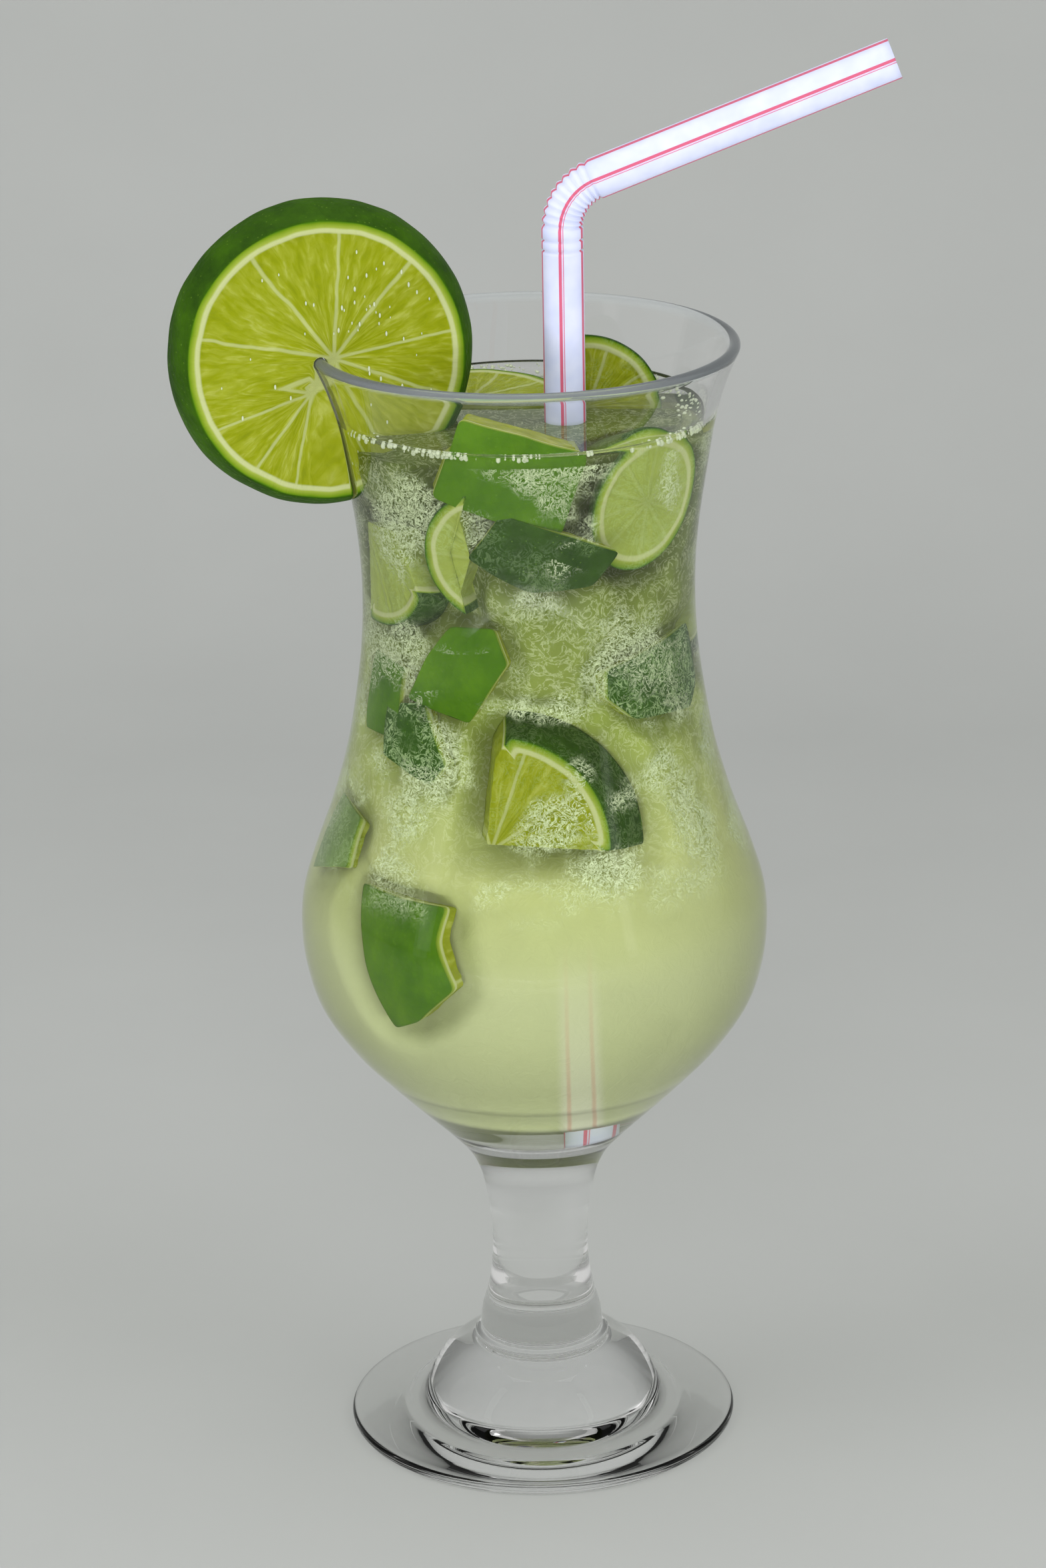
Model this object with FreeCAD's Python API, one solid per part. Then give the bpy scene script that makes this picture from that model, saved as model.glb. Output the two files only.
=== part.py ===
"""A mojito in a footed hurricane glass: lime wheel on the rim, bendy straw, lime in the drink.

Millimetres, Z up. The glass stands on Z = 0 with its axis on the Z axis. +X is the side
the straw bends to, -Y is the front, and the lime wheel hangs on the rim at the -X side.
"""

import FreeCAD
import Part
import os
from math import sin, cos, pi, radians

V = FreeCAD.Vector

# ---------------------------------------------------------------- driving dimensions
GLASS_HEIGHT = 203.2
RIM_RADIUS = 37.0  # outer, at the flared lip
LIP_LEAN = 25.0  # degrees from upright, at the lip
WAIST_RADIUS = 29.1  # outer, under the lip
BOWL_RADIUS = 41.6  # outer, widest
STEM_RADIUS = 8.7  # thinnest
FOOT_RADIUS = 35.3

WAIST_HEIGHT = 160.0
BOWL_HEIGHT = 98.0
STEM_HEIGHT = 34.0

FOOT_EDGE = 1.8  # thickness of the foot at its edge
SKIRT_RADIUS = 21.2  # foot of the dome that carries the stem
SKIRT_HEIGHT = 5.6
COLLAR_RADIUS = 11.9  # ring between the dome and the stem
COLLAR_HEIGHT = 15.4
COLLAR_BAND = 1.4
KNOP_RADIUS = 11.2

WALL = 2.0  # at the rim and waist
WALL_BOWL = 3.0  # low in the bowl
CAVITY_FLOOR = 59.5  # inside bottom of the bowl
CAVITY_FLAT = 10.6  # radius of its flat middle

DRINK_BELOW_RIM = 13.0

STRAW_RADIUS = 3.6
STRAW_WALL = 0.3
STRAW_X = 6.8
STRAW_BEND_START = 222.8
STRAW_BEND_RADIUS = 9.0
STRAW_TURN = 68.8  # degrees away from upright
STRAW_ARM = 54.3
BELLOWS_PITCHES = 9
BELLOWS_DEPTH = 0.45

WHEEL_RADIUS_FRONT = 24.4
WHEEL_RADIUS_BACK = 26.9
WHEEL_THICKNESS = 7.2
WHEEL_BEARING = 11.0  # degrees in front of the -X direction
WHEEL_INSET = 1.1  # wheel centre inside the rim's middle line
WHEEL_SINK = 0.4  # wheel centre under the top of the rim
SLIT_PLAY = 0.25  # between the slit in the wheel and the glass, each side

LIME_RADIUS = 25.0  # the lime that the chunk was cut from
LIME_HALF_LENGTH = 29.0
LIME_PLAY = 0.4  # between a piece of lime and the wall it floats against

CHUNK_LENGTH = 22.0  # piece at the front, its rind outward
CHUNK_HEIGHT = 15.2
CHUNK_DEPTH = 10.5
CHUNK_LEAN = 18.0
CHUNK_UNDER = 3.6  # its middle under the top of the drink

SLICE_RADIUS = 13.9  # part slice standing at the back right
SLICE_THICK = 6.4
SLICE_LEAN = 16.0
SLICE_UNDER = 3.0

FLOAT_RADIUS = 16.4  # half slice afloat at the back left
FLOAT_THICK = 5.6
FLOAT_LEAN = 3.0
FLOAT_UNDER = 4.6  # its lower face under the top of the drink

END_HALF_LENGTH = 13.2  # end of a lime at the right, its cut face to the front
END_RADIUS = 9.8
END_CUT = 1.2  # cut beyond its widest place
END_LEAN = 65.0
END_TURN = 30.0
END_UNDER = 6.6


# ---------------------------------------------------------------- glass outline
def blend(a, b, steps):
    """Points from a to b, each step giving its share of the way up and of the way out."""
    return [(a[0] + (b[0] - a[0]) * s, a[1] + (b[1] - a[1]) * t) for t, s in steps]


RIM_ROUND = WALL / 2

# (radius, height) up the outside, from the knop to just under the rim's bead
knop = (KNOP_RADIUS, COLLAR_HEIGHT + COLLAR_BAND + 0.4)
stem = (STEM_RADIUS, STEM_HEIGHT)
bowl = (BOWL_RADIUS, BOWL_HEIGHT)
waist = (WAIST_RADIUS, WAIST_HEIGHT)
lean_x, lean_z = sin(radians(LIP_LEAN)), cos(radians(LIP_LEAN))
lip = (RIM_RADIUS, GLASS_HEIGHT - RIM_ROUND * (1 + lean_x))
lip_in = (lip[0] - lean_z * WALL, lip[1] + lean_x * WALL)
lip_top = (
    lip[0] - lean_z * RIM_ROUND + lean_x * RIM_ROUND,
    lip[1] + lean_x * RIM_ROUND + lean_z * RIM_ROUND,
)

outside = [knop]
outside += blend(stem, knop, [(0.78, 0.86), (0.55, 0.42), (0.3, 0.13)])
outside += [stem]
outside += blend(
    stem,
    bowl,
    [(0.10, 0.01), (0.17, 0.03), (0.235, 0.06), (0.30, 0.12), (0.375, 0.245),
     (0.465, 0.42), (0.56, 0.60), (0.655, 0.765), (0.78, 0.92), (0.90, 0.985)],
)
outside += [bowl]
outside += blend(
    bowl,
    waist,
    [(0.09, 0.04), (0.20, 0.20), (0.36, 0.49), (0.52, 0.72), (0.68, 0.87), (0.84, 0.97)],
)
outside += [waist]
outside += blend(waist, lip, [(0.23, 0.07), (0.50, 0.28), (0.75, 0.52), (0.88, 0.73)])
# two points close together set the curve's lean at the lip
outside += [(lip[0] - lean_x * 1.5, lip[1] - lean_z * 1.5), lip]


def spline(points):
    """Curve through (radius, height) points, in the XZ plane."""
    curve = Part.BSplineCurve()
    curve.interpolate([V(r, 0, z) for r, z in points])
    return curve


outer_curve = spline(outside)


def wall_at(z):
    """Wall thickness: thick low in the bowl, thin from the widest place up."""
    share = min(1.0, max(0.0, (BOWL_HEIGHT + 12 - z) / 40.0))
    return WALL + (WALL_BOWL - WALL) * share


def inside_point(z):
    """Point one wall thickness in from the outside at height z, square to it."""
    level = Part.Line(V(0, 0, z), V(1, 0, z)).toShape(-1, 200)
    hit = outer_curve.toShape().distToShape(level)[1][0][0]
    u = outer_curve.parameter(hit)
    t = outer_curve.tangent(u)[0]
    if t.z < 0:
        t = t * -1
    w = wall_at(z)
    return (hit.x - t.z * w, hit.z + t.x * w)


bowl_foot = STEM_HEIGHT + 0.47 * (BOWL_HEIGHT - STEM_HEIGHT)
heights = [bowl_foot + (BOWL_HEIGHT - bowl_foot) * k for k in (0, 0.2, 0.42, 0.66, 0.86)]
heights += [BOWL_HEIGHT + (WAIST_HEIGHT - BOWL_HEIGHT) * k for k in (0, 0.2, 0.4, 0.6, 0.8)]
heights += [WAIST_HEIGHT + (lip[1] - WAIST_HEIGHT) * k for k in (0, 0.23, 0.5, 0.72, 0.85)]
inside = [inside_point(z) for z in heights]
inside += [(lip_in[0] - lean_x * 1.5, lip_in[1] - lean_z * 1.5), lip_in]
first = inside[0]
floor_edge = (CAVITY_FLAT, CAVITY_FLOOR)
inside = [
    floor_edge,
    (CAVITY_FLAT + 1.2, CAVITY_FLOOR + 0.08),
    blend(floor_edge, first, [(0.30, 0.55)])[0],
] + inside
inner_curve = spline(inside)


def line(a, b):
    return Part.makeLine(V(a[0], 0, a[1]), V(b[0], 0, b[1]))


def arc(a, m, b):
    return Part.Arc(V(a[0], 0, a[1]), V(m[0], 0, m[1]), V(b[0], 0, b[1])).toShape()


def turned(edges):
    """Solid of revolution about the Z axis from a closed outline in the XZ plane."""
    wire = Part.Wire(Part.__sortEdges__(edges))
    return Part.Face(wire).revolve(V(0, 0, 0), V(0, 0, 1), 360)


# cavity of the bowl, open top closed flat above the rim so that it can be cut and shared
cavity_edges = [
    line((0, CAVITY_FLOOR), (CAVITY_FLAT, CAVITY_FLOOR)),
    inner_curve.toShape(),
    line(lip_in, (0, lip_in[1])),
    line((0, lip_in[1]), (0, CAVITY_FLOOR)),
]
cavity = turned(cavity_edges)

bead = FOOT_EDGE / 2
skirt = [
    (SKIRT_RADIUS, SKIRT_HEIGHT),
    (SKIRT_RADIUS - 0.11 * (SKIRT_RADIUS - COLLAR_RADIUS), SKIRT_HEIGHT + 0.28 * (COLLAR_HEIGHT - SKIRT_HEIGHT)),
    (SKIRT_RADIUS - 0.33 * (SKIRT_RADIUS - COLLAR_RADIUS), SKIRT_HEIGHT + 0.60 * (COLLAR_HEIGHT - SKIRT_HEIGHT)),
    (SKIRT_RADIUS - 0.63 * (SKIRT_RADIUS - COLLAR_RADIUS), SKIRT_HEIGHT + 0.86 * (COLLAR_HEIGHT - SKIRT_HEIGHT)),
    (COLLAR_RADIUS, COLLAR_HEIGHT),
]
plate = [
    (FOOT_RADIUS - bead, FOOT_EDGE),
    (FOOT_RADIUS - 0.45 * (FOOT_RADIUS - SKIRT_RADIUS), FOOT_EDGE + 0.30 * (SKIRT_HEIGHT - FOOT_EDGE)),
    (SKIRT_RADIUS + 1.5, SKIRT_HEIGHT - 0.75),
    (SKIRT_RADIUS, SKIRT_HEIGHT),
]
body_edges = [
    line((0, 0), (FOOT_RADIUS - bead, 0)),
    arc((FOOT_RADIUS - bead, 0), (FOOT_RADIUS, bead), (FOOT_RADIUS - bead, FOOT_EDGE)),
    spline(plate).toShape(),
    spline(skirt).toShape(),
    arc(
        (COLLAR_RADIUS, COLLAR_HEIGHT),
        (COLLAR_RADIUS + 0.35, COLLAR_HEIGHT + COLLAR_BAND / 2),
        (COLLAR_RADIUS, COLLAR_HEIGHT + COLLAR_BAND),
    ),
    line((COLLAR_RADIUS, COLLAR_HEIGHT + COLLAR_BAND), knop),
    outer_curve.toShape(),
    arc(lip, lip_top, lip_in),
]
# the same outline runs on down the inside, so the cavity's floor closes it at the axis
inner_edges = [
    inner_curve.toShape(),
    line((CAVITY_FLAT, CAVITY_FLOOR), (0, CAVITY_FLOOR)),
    line((0, CAVITY_FLOOR), (0, 0)),
]
glass = turned(body_edges + inner_edges)


# ---------------------------------------------------------------- straw
def ring(radius, x, z, lean):
    """Circle square to the straw at a point of its middle line, leaning toward +X."""
    edge = Part.makeCircle(radius)
    wire = Part.Wire([edge])
    wire.Placement = FreeCAD.Placement(
        V(x, 0, z), FreeCAD.Rotation(V(0, 1, 0), lean)
    )
    return wire


bend_end_x = STRAW_X + STRAW_BEND_RADIUS * (1 - cos(radians(STRAW_TURN)))
bend_end_z = STRAW_BEND_START + STRAW_BEND_RADIUS * sin(radians(STRAW_TURN))
arm_x = bend_end_x + STRAW_ARM * sin(radians(STRAW_TURN))
arm_z = bend_end_z + STRAW_ARM * cos(radians(STRAW_TURN))


def tube(shrink, overrun):
    """Straw outline as one solid, shrunk by the wall and run past the ends for the bore."""
    r = STRAW_RADIUS - shrink
    lean = radians(STRAW_TURN)
    rings = [ring(r, STRAW_X, CAVITY_FLOOR - overrun, 0)]
    rings.append(ring(r, STRAW_X, STRAW_BEND_START, 0))
    half = 2 * BELLOWS_PITCHES
    for k in range(1, half):
        a = lean * k / half
        x = STRAW_X + STRAW_BEND_RADIUS * (1 - cos(a))
        z = STRAW_BEND_START + STRAW_BEND_RADIUS * sin(a)
        rings.append(ring(r - (BELLOWS_DEPTH if k % 2 else 0), x, z, STRAW_TURN * k / half))
    rings.append(ring(r, bend_end_x, bend_end_z, STRAW_TURN))
    rings.append(
        ring(r, arm_x + overrun * sin(lean), arm_z + overrun * cos(lean), STRAW_TURN)
    )
    return Part.makeLoft(rings, True, True)


straw_body = tube(0, 0)
straw = straw_body.cut(tube(STRAW_WALL, 3.0))


# ---------------------------------------------------------------- lime wheel on the rim
def placed(shape, position, turns):
    """Turn a shape about its own origin, axis by axis, then move it."""
    out = shape.copy()
    for axis, angle in turns:
        out.rotate(V(0, 0, 0), axis, angle)
    out.translate(position)
    return out


X, Y, Z = V(1, 0, 0), V(0, 1, 0), V(0, 0, 1)

bearing = radians(WHEEL_BEARING)
rim_middle = RIM_RADIUS - WALL / 2
wheel_centre = V(
    -(rim_middle - WHEEL_INSET) * cos(bearing),
    -(rim_middle - WHEEL_INSET) * sin(bearing),
    GLASS_HEIGHT - WHEEL_SINK,
)
half = WHEEL_THICKNESS / 2
bulge = (WHEEL_RADIUS_FRONT + WHEEL_RADIUS_BACK) / 2 + 0.35
wheel_outline = [
    Part.makeLine(V(0, 0, -half), V(WHEEL_RADIUS_BACK, 0, -half)),
    Part.Arc(
        V(WHEEL_RADIUS_BACK, 0, -half), V(bulge, 0, 0), V(WHEEL_RADIUS_FRONT, 0, half)
    ).toShape(),
    Part.makeLine(V(WHEEL_RADIUS_FRONT, 0, half), V(0, 0, half)),
    Part.makeLine(V(0, 0, half), V(0, 0, -half)),
]
wheel_blank = Part.Face(Part.Wire(wheel_outline)).revolve(V(0, 0, 0), Z, 360)
# axis from +Z to the front (-Y), then round to square with the rim's radius
wheel_whole = placed(wheel_blank, wheel_centre, [(X, 90), (Z, WHEEL_BEARING)])


def offset_points(curve, low, high, gap, count):
    """Points beside a curve of the glass outline, the gap measured square to it."""
    found = []
    for k in range(count):
        z = low + (high - low) * k / (count - 1)
        level = Part.Line(V(0, 0, z), V(1, 0, z)).toShape(-1, 200)
        hit = curve.toShape().distToShape(level)[1][0][0]
        t = curve.tangent(curve.parameter(hit))[0]
        if t.z < 0:
            t = t * -1
        found.append((hit.x + t.z * gap, hit.z - t.x * gap))
    return found


# slit that takes the glass wall: the wall's own section, wider by the play and by the
# wall's curve across the wheel's thickness
wheel_low = wheel_centre.z - bulge - 4
sag = (half + 0.5) ** 2 / (2 * rim_middle)
slit_out = offset_points(outer_curve, wheel_low, lip[1] - 0.3, SLIT_PLAY, 7)
slit_in = offset_points(inner_curve, wheel_low, lip_in[1] - 0.3, -SLIT_PLAY - sag * 1.3, 7)
slit_edges = [
    spline(slit_out).toShape(),
    arc(
        slit_out[-1],
        (lip_top[0] + lean_x * SLIT_PLAY - 0.1, lip_top[1] + SLIT_PLAY + 0.1),
        slit_in[-1],
    ),
    spline(slit_in).toShape(),
    line(slit_in[0], slit_out[0]),
]
slit_face = Part.Face(Part.Wire(Part.__sortEdges__(slit_edges)))
slit = slit_face.extrude(V(0, 2 * half + 4, 0))
slit.translate(V(0, -half - 2, 0))
slit.rotate(V(0, 0, 0), Z, 180 + WHEEL_BEARING)
wheel = wheel_whole.cut(slit)


# ---------------------------------------------------------------- lime pieces at the surface
FAR = 40.0  # longer than any piece, for cutting


def ovoid(half_length, radius):
    """Whole lime shape about the origin, its long axis along X."""
    outline = Part.Ellipse(V(0, 0, 0), half_length, radius)
    top = Part.Arc(outline, 0, pi).toShape()
    base = Part.makeLine(V(-half_length, 0, 0), V(half_length, 0, 0))
    return Part.Face(Part.Wire([top, base])).revolve(V(0, 0, 0), X, 360)


def block(x0, x1, y0, y1, z0, z1):
    return Part.makeBox(x1 - x0, y1 - y0, z1 - z0, V(x0, y0, z0))


def settled(piece, way):
    """Slide a floating piece outward, the way given, until it all but meets the wall."""
    out = piece.copy()
    step = V(*way).normalize()
    for _ in range(10):
        gap = out.distToShape(glass)[0] - LIME_PLAY
        if gap < 0.05:
            break
        out.translate(step * gap)
    return out


drink_level = GLASS_HEIGHT - DRINK_BELOW_RIM


def chunk_front():
    side = -LIME_RADIUS + CHUNK_DEPTH
    piece = ovoid(LIME_HALF_LENGTH, LIME_RADIUS).common(
        block(-CHUNK_LENGTH / 2, CHUNK_LENGTH / 2, -FAR, side, -CHUNK_HEIGHT / 2, CHUNK_HEIGHT / 2)
    )
    start = V(-2.8, 0, drink_level - CHUNK_UNDER)
    return settled(placed(piece, start, [(Y, CHUNK_LEAN)]), (0, -1, 0))


def slice_back():
    disc = Part.makeCylinder(SLICE_RADIUS, SLICE_THICK, V(0, SLICE_THICK, 0), V(0, -1, 0))
    piece = disc.common(block(-SLICE_RADIUS / 10, FAR, -FAR, FAR, -FAR, FAR))
    start = V(9.0, 9.2, drink_level - SLICE_UNDER)
    return settled(placed(piece, start, [(X, -SLICE_LEAN)]), (1, 1, 0))


def slice_afloat():
    disc = Part.makeCylinder(FLOAT_RADIUS, FLOAT_THICK)
    piece = disc.common(block(-FAR, FAR, 0, FAR, -FAR, FAR))
    start = V(-8.8, 8.6, drink_level - FLOAT_UNDER)
    return settled(placed(piece, start, [(X, FLOAT_LEAN)]), (-1, 1, 0))


def end_right():
    piece = ovoid(END_HALF_LENGTH, END_RADIUS).common(block(-FAR, FAR, END_CUT, FAR, -FAR, FAR))
    start = V(15.5, -14.0, drink_level - END_UNDER)
    return settled(placed(piece, start, [(Y, -END_LEAN), (Z, END_TURN)]), (1, -1, 0))


pieces = {
    "lime_chunk_front": chunk_front(),
    "lime_slice_back": slice_back(),
    "lime_slice_afloat": slice_afloat(),
    "lime_end_right": end_right(),
}

# ---------------------------------------------------------------- drink
below = block(-2 * FAR, 2 * FAR, -2 * FAR, 2 * FAR, 0, drink_level)
drink = cavity.common(below)
for solid in [straw_body, wheel_whole, *pieces.values()]:
    drink = drink.cut(solid)

# ---------------------------------------------------------------- output
nodes = {
    "glass": glass,
    "drink": drink,
    "straw": straw,
    "lime_wheel": wheel,
    **pieces,
}

os.makedirs("parts", exist_ok=True)
for name, shape in nodes.items():
    if len(shape.Solids) == 1:
        shape = shape.Solids[0]
    shape.exportStep("parts/" + name + ".step")
    print(name, "solids", len(shape.Solids), "valid", shape.isValid(), "cm3", round(shape.Volume / 1000, 2))
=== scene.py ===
"""Mojito in a footed hurricane glass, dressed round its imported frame.

The drink is a clear body with a little scatter in it, round a cloudy heart of crushed ice,
with cut lime floating in between. Lengths here are millimetres until a mesh is made.
"""

from math import cos, exp, hypot, pi, radians, sin, sqrt

import bmesh
import bpy
import numpy as np
from mathutils.bvhtree import BVHTree
from mathutils import Matrix, Vector, noise


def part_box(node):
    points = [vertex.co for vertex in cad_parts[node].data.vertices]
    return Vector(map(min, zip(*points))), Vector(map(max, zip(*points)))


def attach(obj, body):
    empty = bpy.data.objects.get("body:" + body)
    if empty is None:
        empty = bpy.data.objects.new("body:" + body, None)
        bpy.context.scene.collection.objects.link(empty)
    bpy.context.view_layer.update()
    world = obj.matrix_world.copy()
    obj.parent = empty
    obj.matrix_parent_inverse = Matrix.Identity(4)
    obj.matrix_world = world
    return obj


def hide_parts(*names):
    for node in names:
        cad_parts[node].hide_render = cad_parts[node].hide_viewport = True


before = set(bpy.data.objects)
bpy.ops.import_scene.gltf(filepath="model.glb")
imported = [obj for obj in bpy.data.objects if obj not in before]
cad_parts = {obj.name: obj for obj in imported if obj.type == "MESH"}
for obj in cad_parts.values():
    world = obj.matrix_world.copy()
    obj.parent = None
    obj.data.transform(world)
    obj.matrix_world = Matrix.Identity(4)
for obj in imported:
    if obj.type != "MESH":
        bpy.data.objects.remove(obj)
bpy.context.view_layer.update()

bl_info = {
    "name": "Mojito in a Hurricane Glass",
    "version": (1, 0, 0),
    "blender": (4, 5, 0),
    "location": "3D Viewport > Sidebar > Mojito",
    "description": "Builds a mojito with lime, straw and studio",
    "category": "Add Mesh",
}

MM = 0.001
TAU = 2 * pi
RIM_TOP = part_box("glass")[1].z / MM


def linear(hex_colour):
    """Linear RGBA of an sRGB hex colour such as #A0B040."""
    parts = [int(hex_colour[k:k + 2], 16) / 255 for k in (1, 3, 5)]
    flat = [c / 12.92 if c <= 0.04045 else ((c + 0.055) / 1.055) ** 2.4 for c in parts]
    return (*flat, 1.0)


def size_prop(name, description, default):
    return bpy.props.FloatProperty(
        name=name, description=description, default=default * MM, unit="LENGTH", precision=5
    )


def colour_prop(name, description, default):
    return bpy.props.FloatVectorProperty(
        name=name, description=description, default=linear(default), subtype="COLOR",
        size=4, min=0, max=1,
    )


class MojitoSettings(bpy.types.PropertyGroup):
    """Sizes and colours a user would change."""

    rim_radius: size_prop("Rim radius", "Outer radius of the flared lip", 37.0)
    waist_radius: size_prop("Waist radius", "Outer radius of the waist", 29.1)
    bowl_radius: size_prop("Bowl radius", "Outer radius of the bowl", 41.6)
    stem_radius: size_prop("Stem radius", "Radius of the stem at its thinnest", 8.7)
    foot_radius: size_prop("Foot radius", "Radius of the foot", 35.3)
    wall: size_prop("Wall", "Thickness of the wall at the rim", 2.0)
    drink_level: size_prop("Drink level", "Height of the top of the drink", 190.2)
    straw_radius: size_prop("Straw radius", "Outer radius of the straw", 3.6)
    wheel_radius: size_prop("Wheel radius", "Radius of the lime wheel's front face", 24.4)
    drink_colour: colour_prop("Drink", "Colour of the cloudy drink, low in the bowl", "#B0B78A")
    ice_colour: colour_prop("Ice", "Colour of the crushed ice in the drink", "#586824")
    flesh_colour: colour_prop("Flesh", "Colour of the lime's flesh", "#828C12")
    pith_colour: colour_prop("Pith", "Colour of the lime's pith", "#AFB681")
    peel_colour: colour_prop("Peel", "Colour of the lime's peel", "#223F08")
    stripe_colour: colour_prop("Stripe", "Colour of the straw's stripes", "#D0607F")
    floor_colour: colour_prop("Floor", "Colour of the studio floor", "#AEB0AE")


# ---------------------------------------------------------------- nodes and meshes
def add(tree, kind, inputs=None, stops=None, **settings):
    """Add a node, set its properties, and fill or link its inputs by name or number.

    An input given as a node is linked to that node's first output.
    """
    made = tree.nodes.new(kind)
    for name, value in settings.items():
        setattr(made, name, value)
    for key, value in (inputs or {}).items():
        if isinstance(value, bpy.types.Node):
            value = value.outputs[0]
        if isinstance(value, bpy.types.NodeSocket):
            tree.links.new(value, made.inputs[key])
        else:
            made.inputs[key].default_value = value
    if stops:
        ramp = made.color_ramp
        while len(ramp.elements) < len(stops):
            ramp.elements.new(0.5)
        for element, (place, colour) in zip(ramp.elements, stops):
            element.position = place
            element.color = colour
    return made


def new_material(name):
    """Empty node material with its output node."""
    made = bpy.data.materials.new(name)
    made.use_nodes = True
    made.node_tree.nodes.clear()
    return made, made.node_tree, made.node_tree.nodes.new("ShaderNodeOutputMaterial")


def grey(value):
    return (value, value, value, 1.0)


def outward(mesh):
    """Turn every face of a closed mesh outward."""
    work = bmesh.new()
    work.from_mesh(mesh)
    bmesh.ops.recalc_face_normals(work, faces=work.faces)
    work.to_mesh(mesh)
    work.free()


def make_piece(name, points, faces, material, floats=None, vectors=None, smooth=True):
    """Mesh object at the origin from points in millimetres, with its point attributes."""
    mesh = bpy.data.meshes.new(name)
    mesh.from_pydata((np.asarray(points, float) * MM).tolist(), [], faces)
    for key, values in (floats or {}).items():
        layer = mesh.attributes.new(key, "FLOAT", "POINT")
        layer.data.foreach_set("value", np.asarray(values, np.float32).ravel())
    for key, values in (vectors or {}).items():
        layer = mesh.attributes.new(key, "FLOAT_VECTOR", "POINT")
        layer.data.foreach_set("vector", np.asarray(values, np.float32).ravel())
    outward(mesh)
    mesh.polygons.foreach_set("use_smooth", [smooth] * len(mesh.polygons))
    mesh.materials.append(material)
    piece = bpy.data.objects.new(name, mesh)
    bpy.context.scene.collection.objects.link(piece)
    return piece


def settle(piece, slot, *nodes):
    """Give a finished piece its body and hide the solids it stands for. The slot is not used."""
    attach(piece, "root")
    if nodes:
        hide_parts(*nodes)


def ring_faces(rows, count, poles):
    """Quads between closed rings, and fans to the poles (first and last point) if asked."""
    faces = []
    for row in range(rows - 1):
        a, b = row * count, (row + 1) * count
        for k in range(count):
            n = (k + 1) % count
            faces.append((a + k, a + n, b + n, b + k))
    if poles:
        first, last = rows * count, rows * count + 1
        base = (rows - 1) * count
        for k in range(count):
            n = (k + 1) % count
            faces.append((first, k, n))
            faces.append((last, base + n, base + k))
    return faces


def lathe(outline, turns):
    """Surface of revolution whose outline starts and ends on the axis."""
    angles = np.arange(turns) * TAU / turns
    inner = outline[1:-1]
    points = [
        (r * cos(a), r * sin(a), z) for r, z in inner for a in angles
    ]
    points += [(0, 0, outline[0][1]), (0, 0, outline[-1][1])]
    return np.array(points), ring_faces(len(inner), turns, True)


def curve_through(stations, spacing=1.0):
    """Even points on a smooth curve through the stations."""
    pts = np.array(stations, float)
    ext = np.vstack([2 * pts[0] - pts[1], pts, 2 * pts[-1] - pts[-2]])
    out = []
    for p0, p1, p2, p3 in zip(ext, ext[1:], ext[2:], ext[3:]):
        t1 = sqrt(max(hypot(*(p1 - p0)), 1e-6))
        t2 = t1 + sqrt(max(hypot(*(p2 - p1)), 1e-6))
        t3 = t2 + sqrt(max(hypot(*(p3 - p2)), 1e-6))
        steps = max(2, int(hypot(*(p2 - p1)) / spacing))
        for t in np.linspace(t1, t2, steps, endpoint=False):
            a1 = p0 + (p1 - p0) * t / t1
            a2 = p1 + (p2 - p1) * (t - t1) / (t2 - t1)
            a3 = p2 + (p3 - p2) * (t - t2) / (t3 - t2)
            b1 = a1 + (a2 - a1) * t / t2
            b2 = a2 + (a3 - a2) * (t - t1) / (t3 - t1)
            out.append(b1 + (b2 - b1) * (t - t1) / (t2 - t1))
    out.append(pts[-1])
    return np.array(out)


def wobble(point, scale, seed=0.0):
    """Smooth noise from -1 to 1 at a point, its lumps about scale millimetres across."""
    return noise.noise(Vector(point) / scale + Vector((seed, seed * 1.7, -seed)))


def neighbours(field, spread, rule):
    """Grid of (height, bearing) values, each replaced by a rule over its neighbours."""
    wide, tall = spread
    padded = np.pad(field, ((tall, tall), (0, 0)), mode="edge")
    stack = [
        np.roll(padded[tall + up: len(padded) - tall + up], side, axis=1)
        for up in range(-tall, tall + 1) for side in range(-wide, wide + 1)
    ]
    return rule(stack, axis=0)


# ---------------------------------------------------------------- glass outline
def blend_stations(a, b, steps):
    """Stations from a to b, each step giving its share of the way up and of the way out."""
    return [(a[0] + (b[0] - a[0]) * s, a[1] + (b[1] - a[1]) * t) for t, s in steps]


LIP_LEAN = 25.0  # degrees
WAIST_HEIGHT = 160.0
BOWL_HEIGHT = 98.0
STEM_HEIGHT = 34.0
CAVITY_FLOOR = 59.5
CAVITY_FLAT = 10.6
FOOT_EDGE = 1.8
SKIRT = (21.2, 5.6)
COLLAR = (11.9, 15.4)
KNOP = (11.2, 17.2)
UNDERCUT = (24.0, 0.9)  # radius and height of the hollow under the foot


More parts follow.
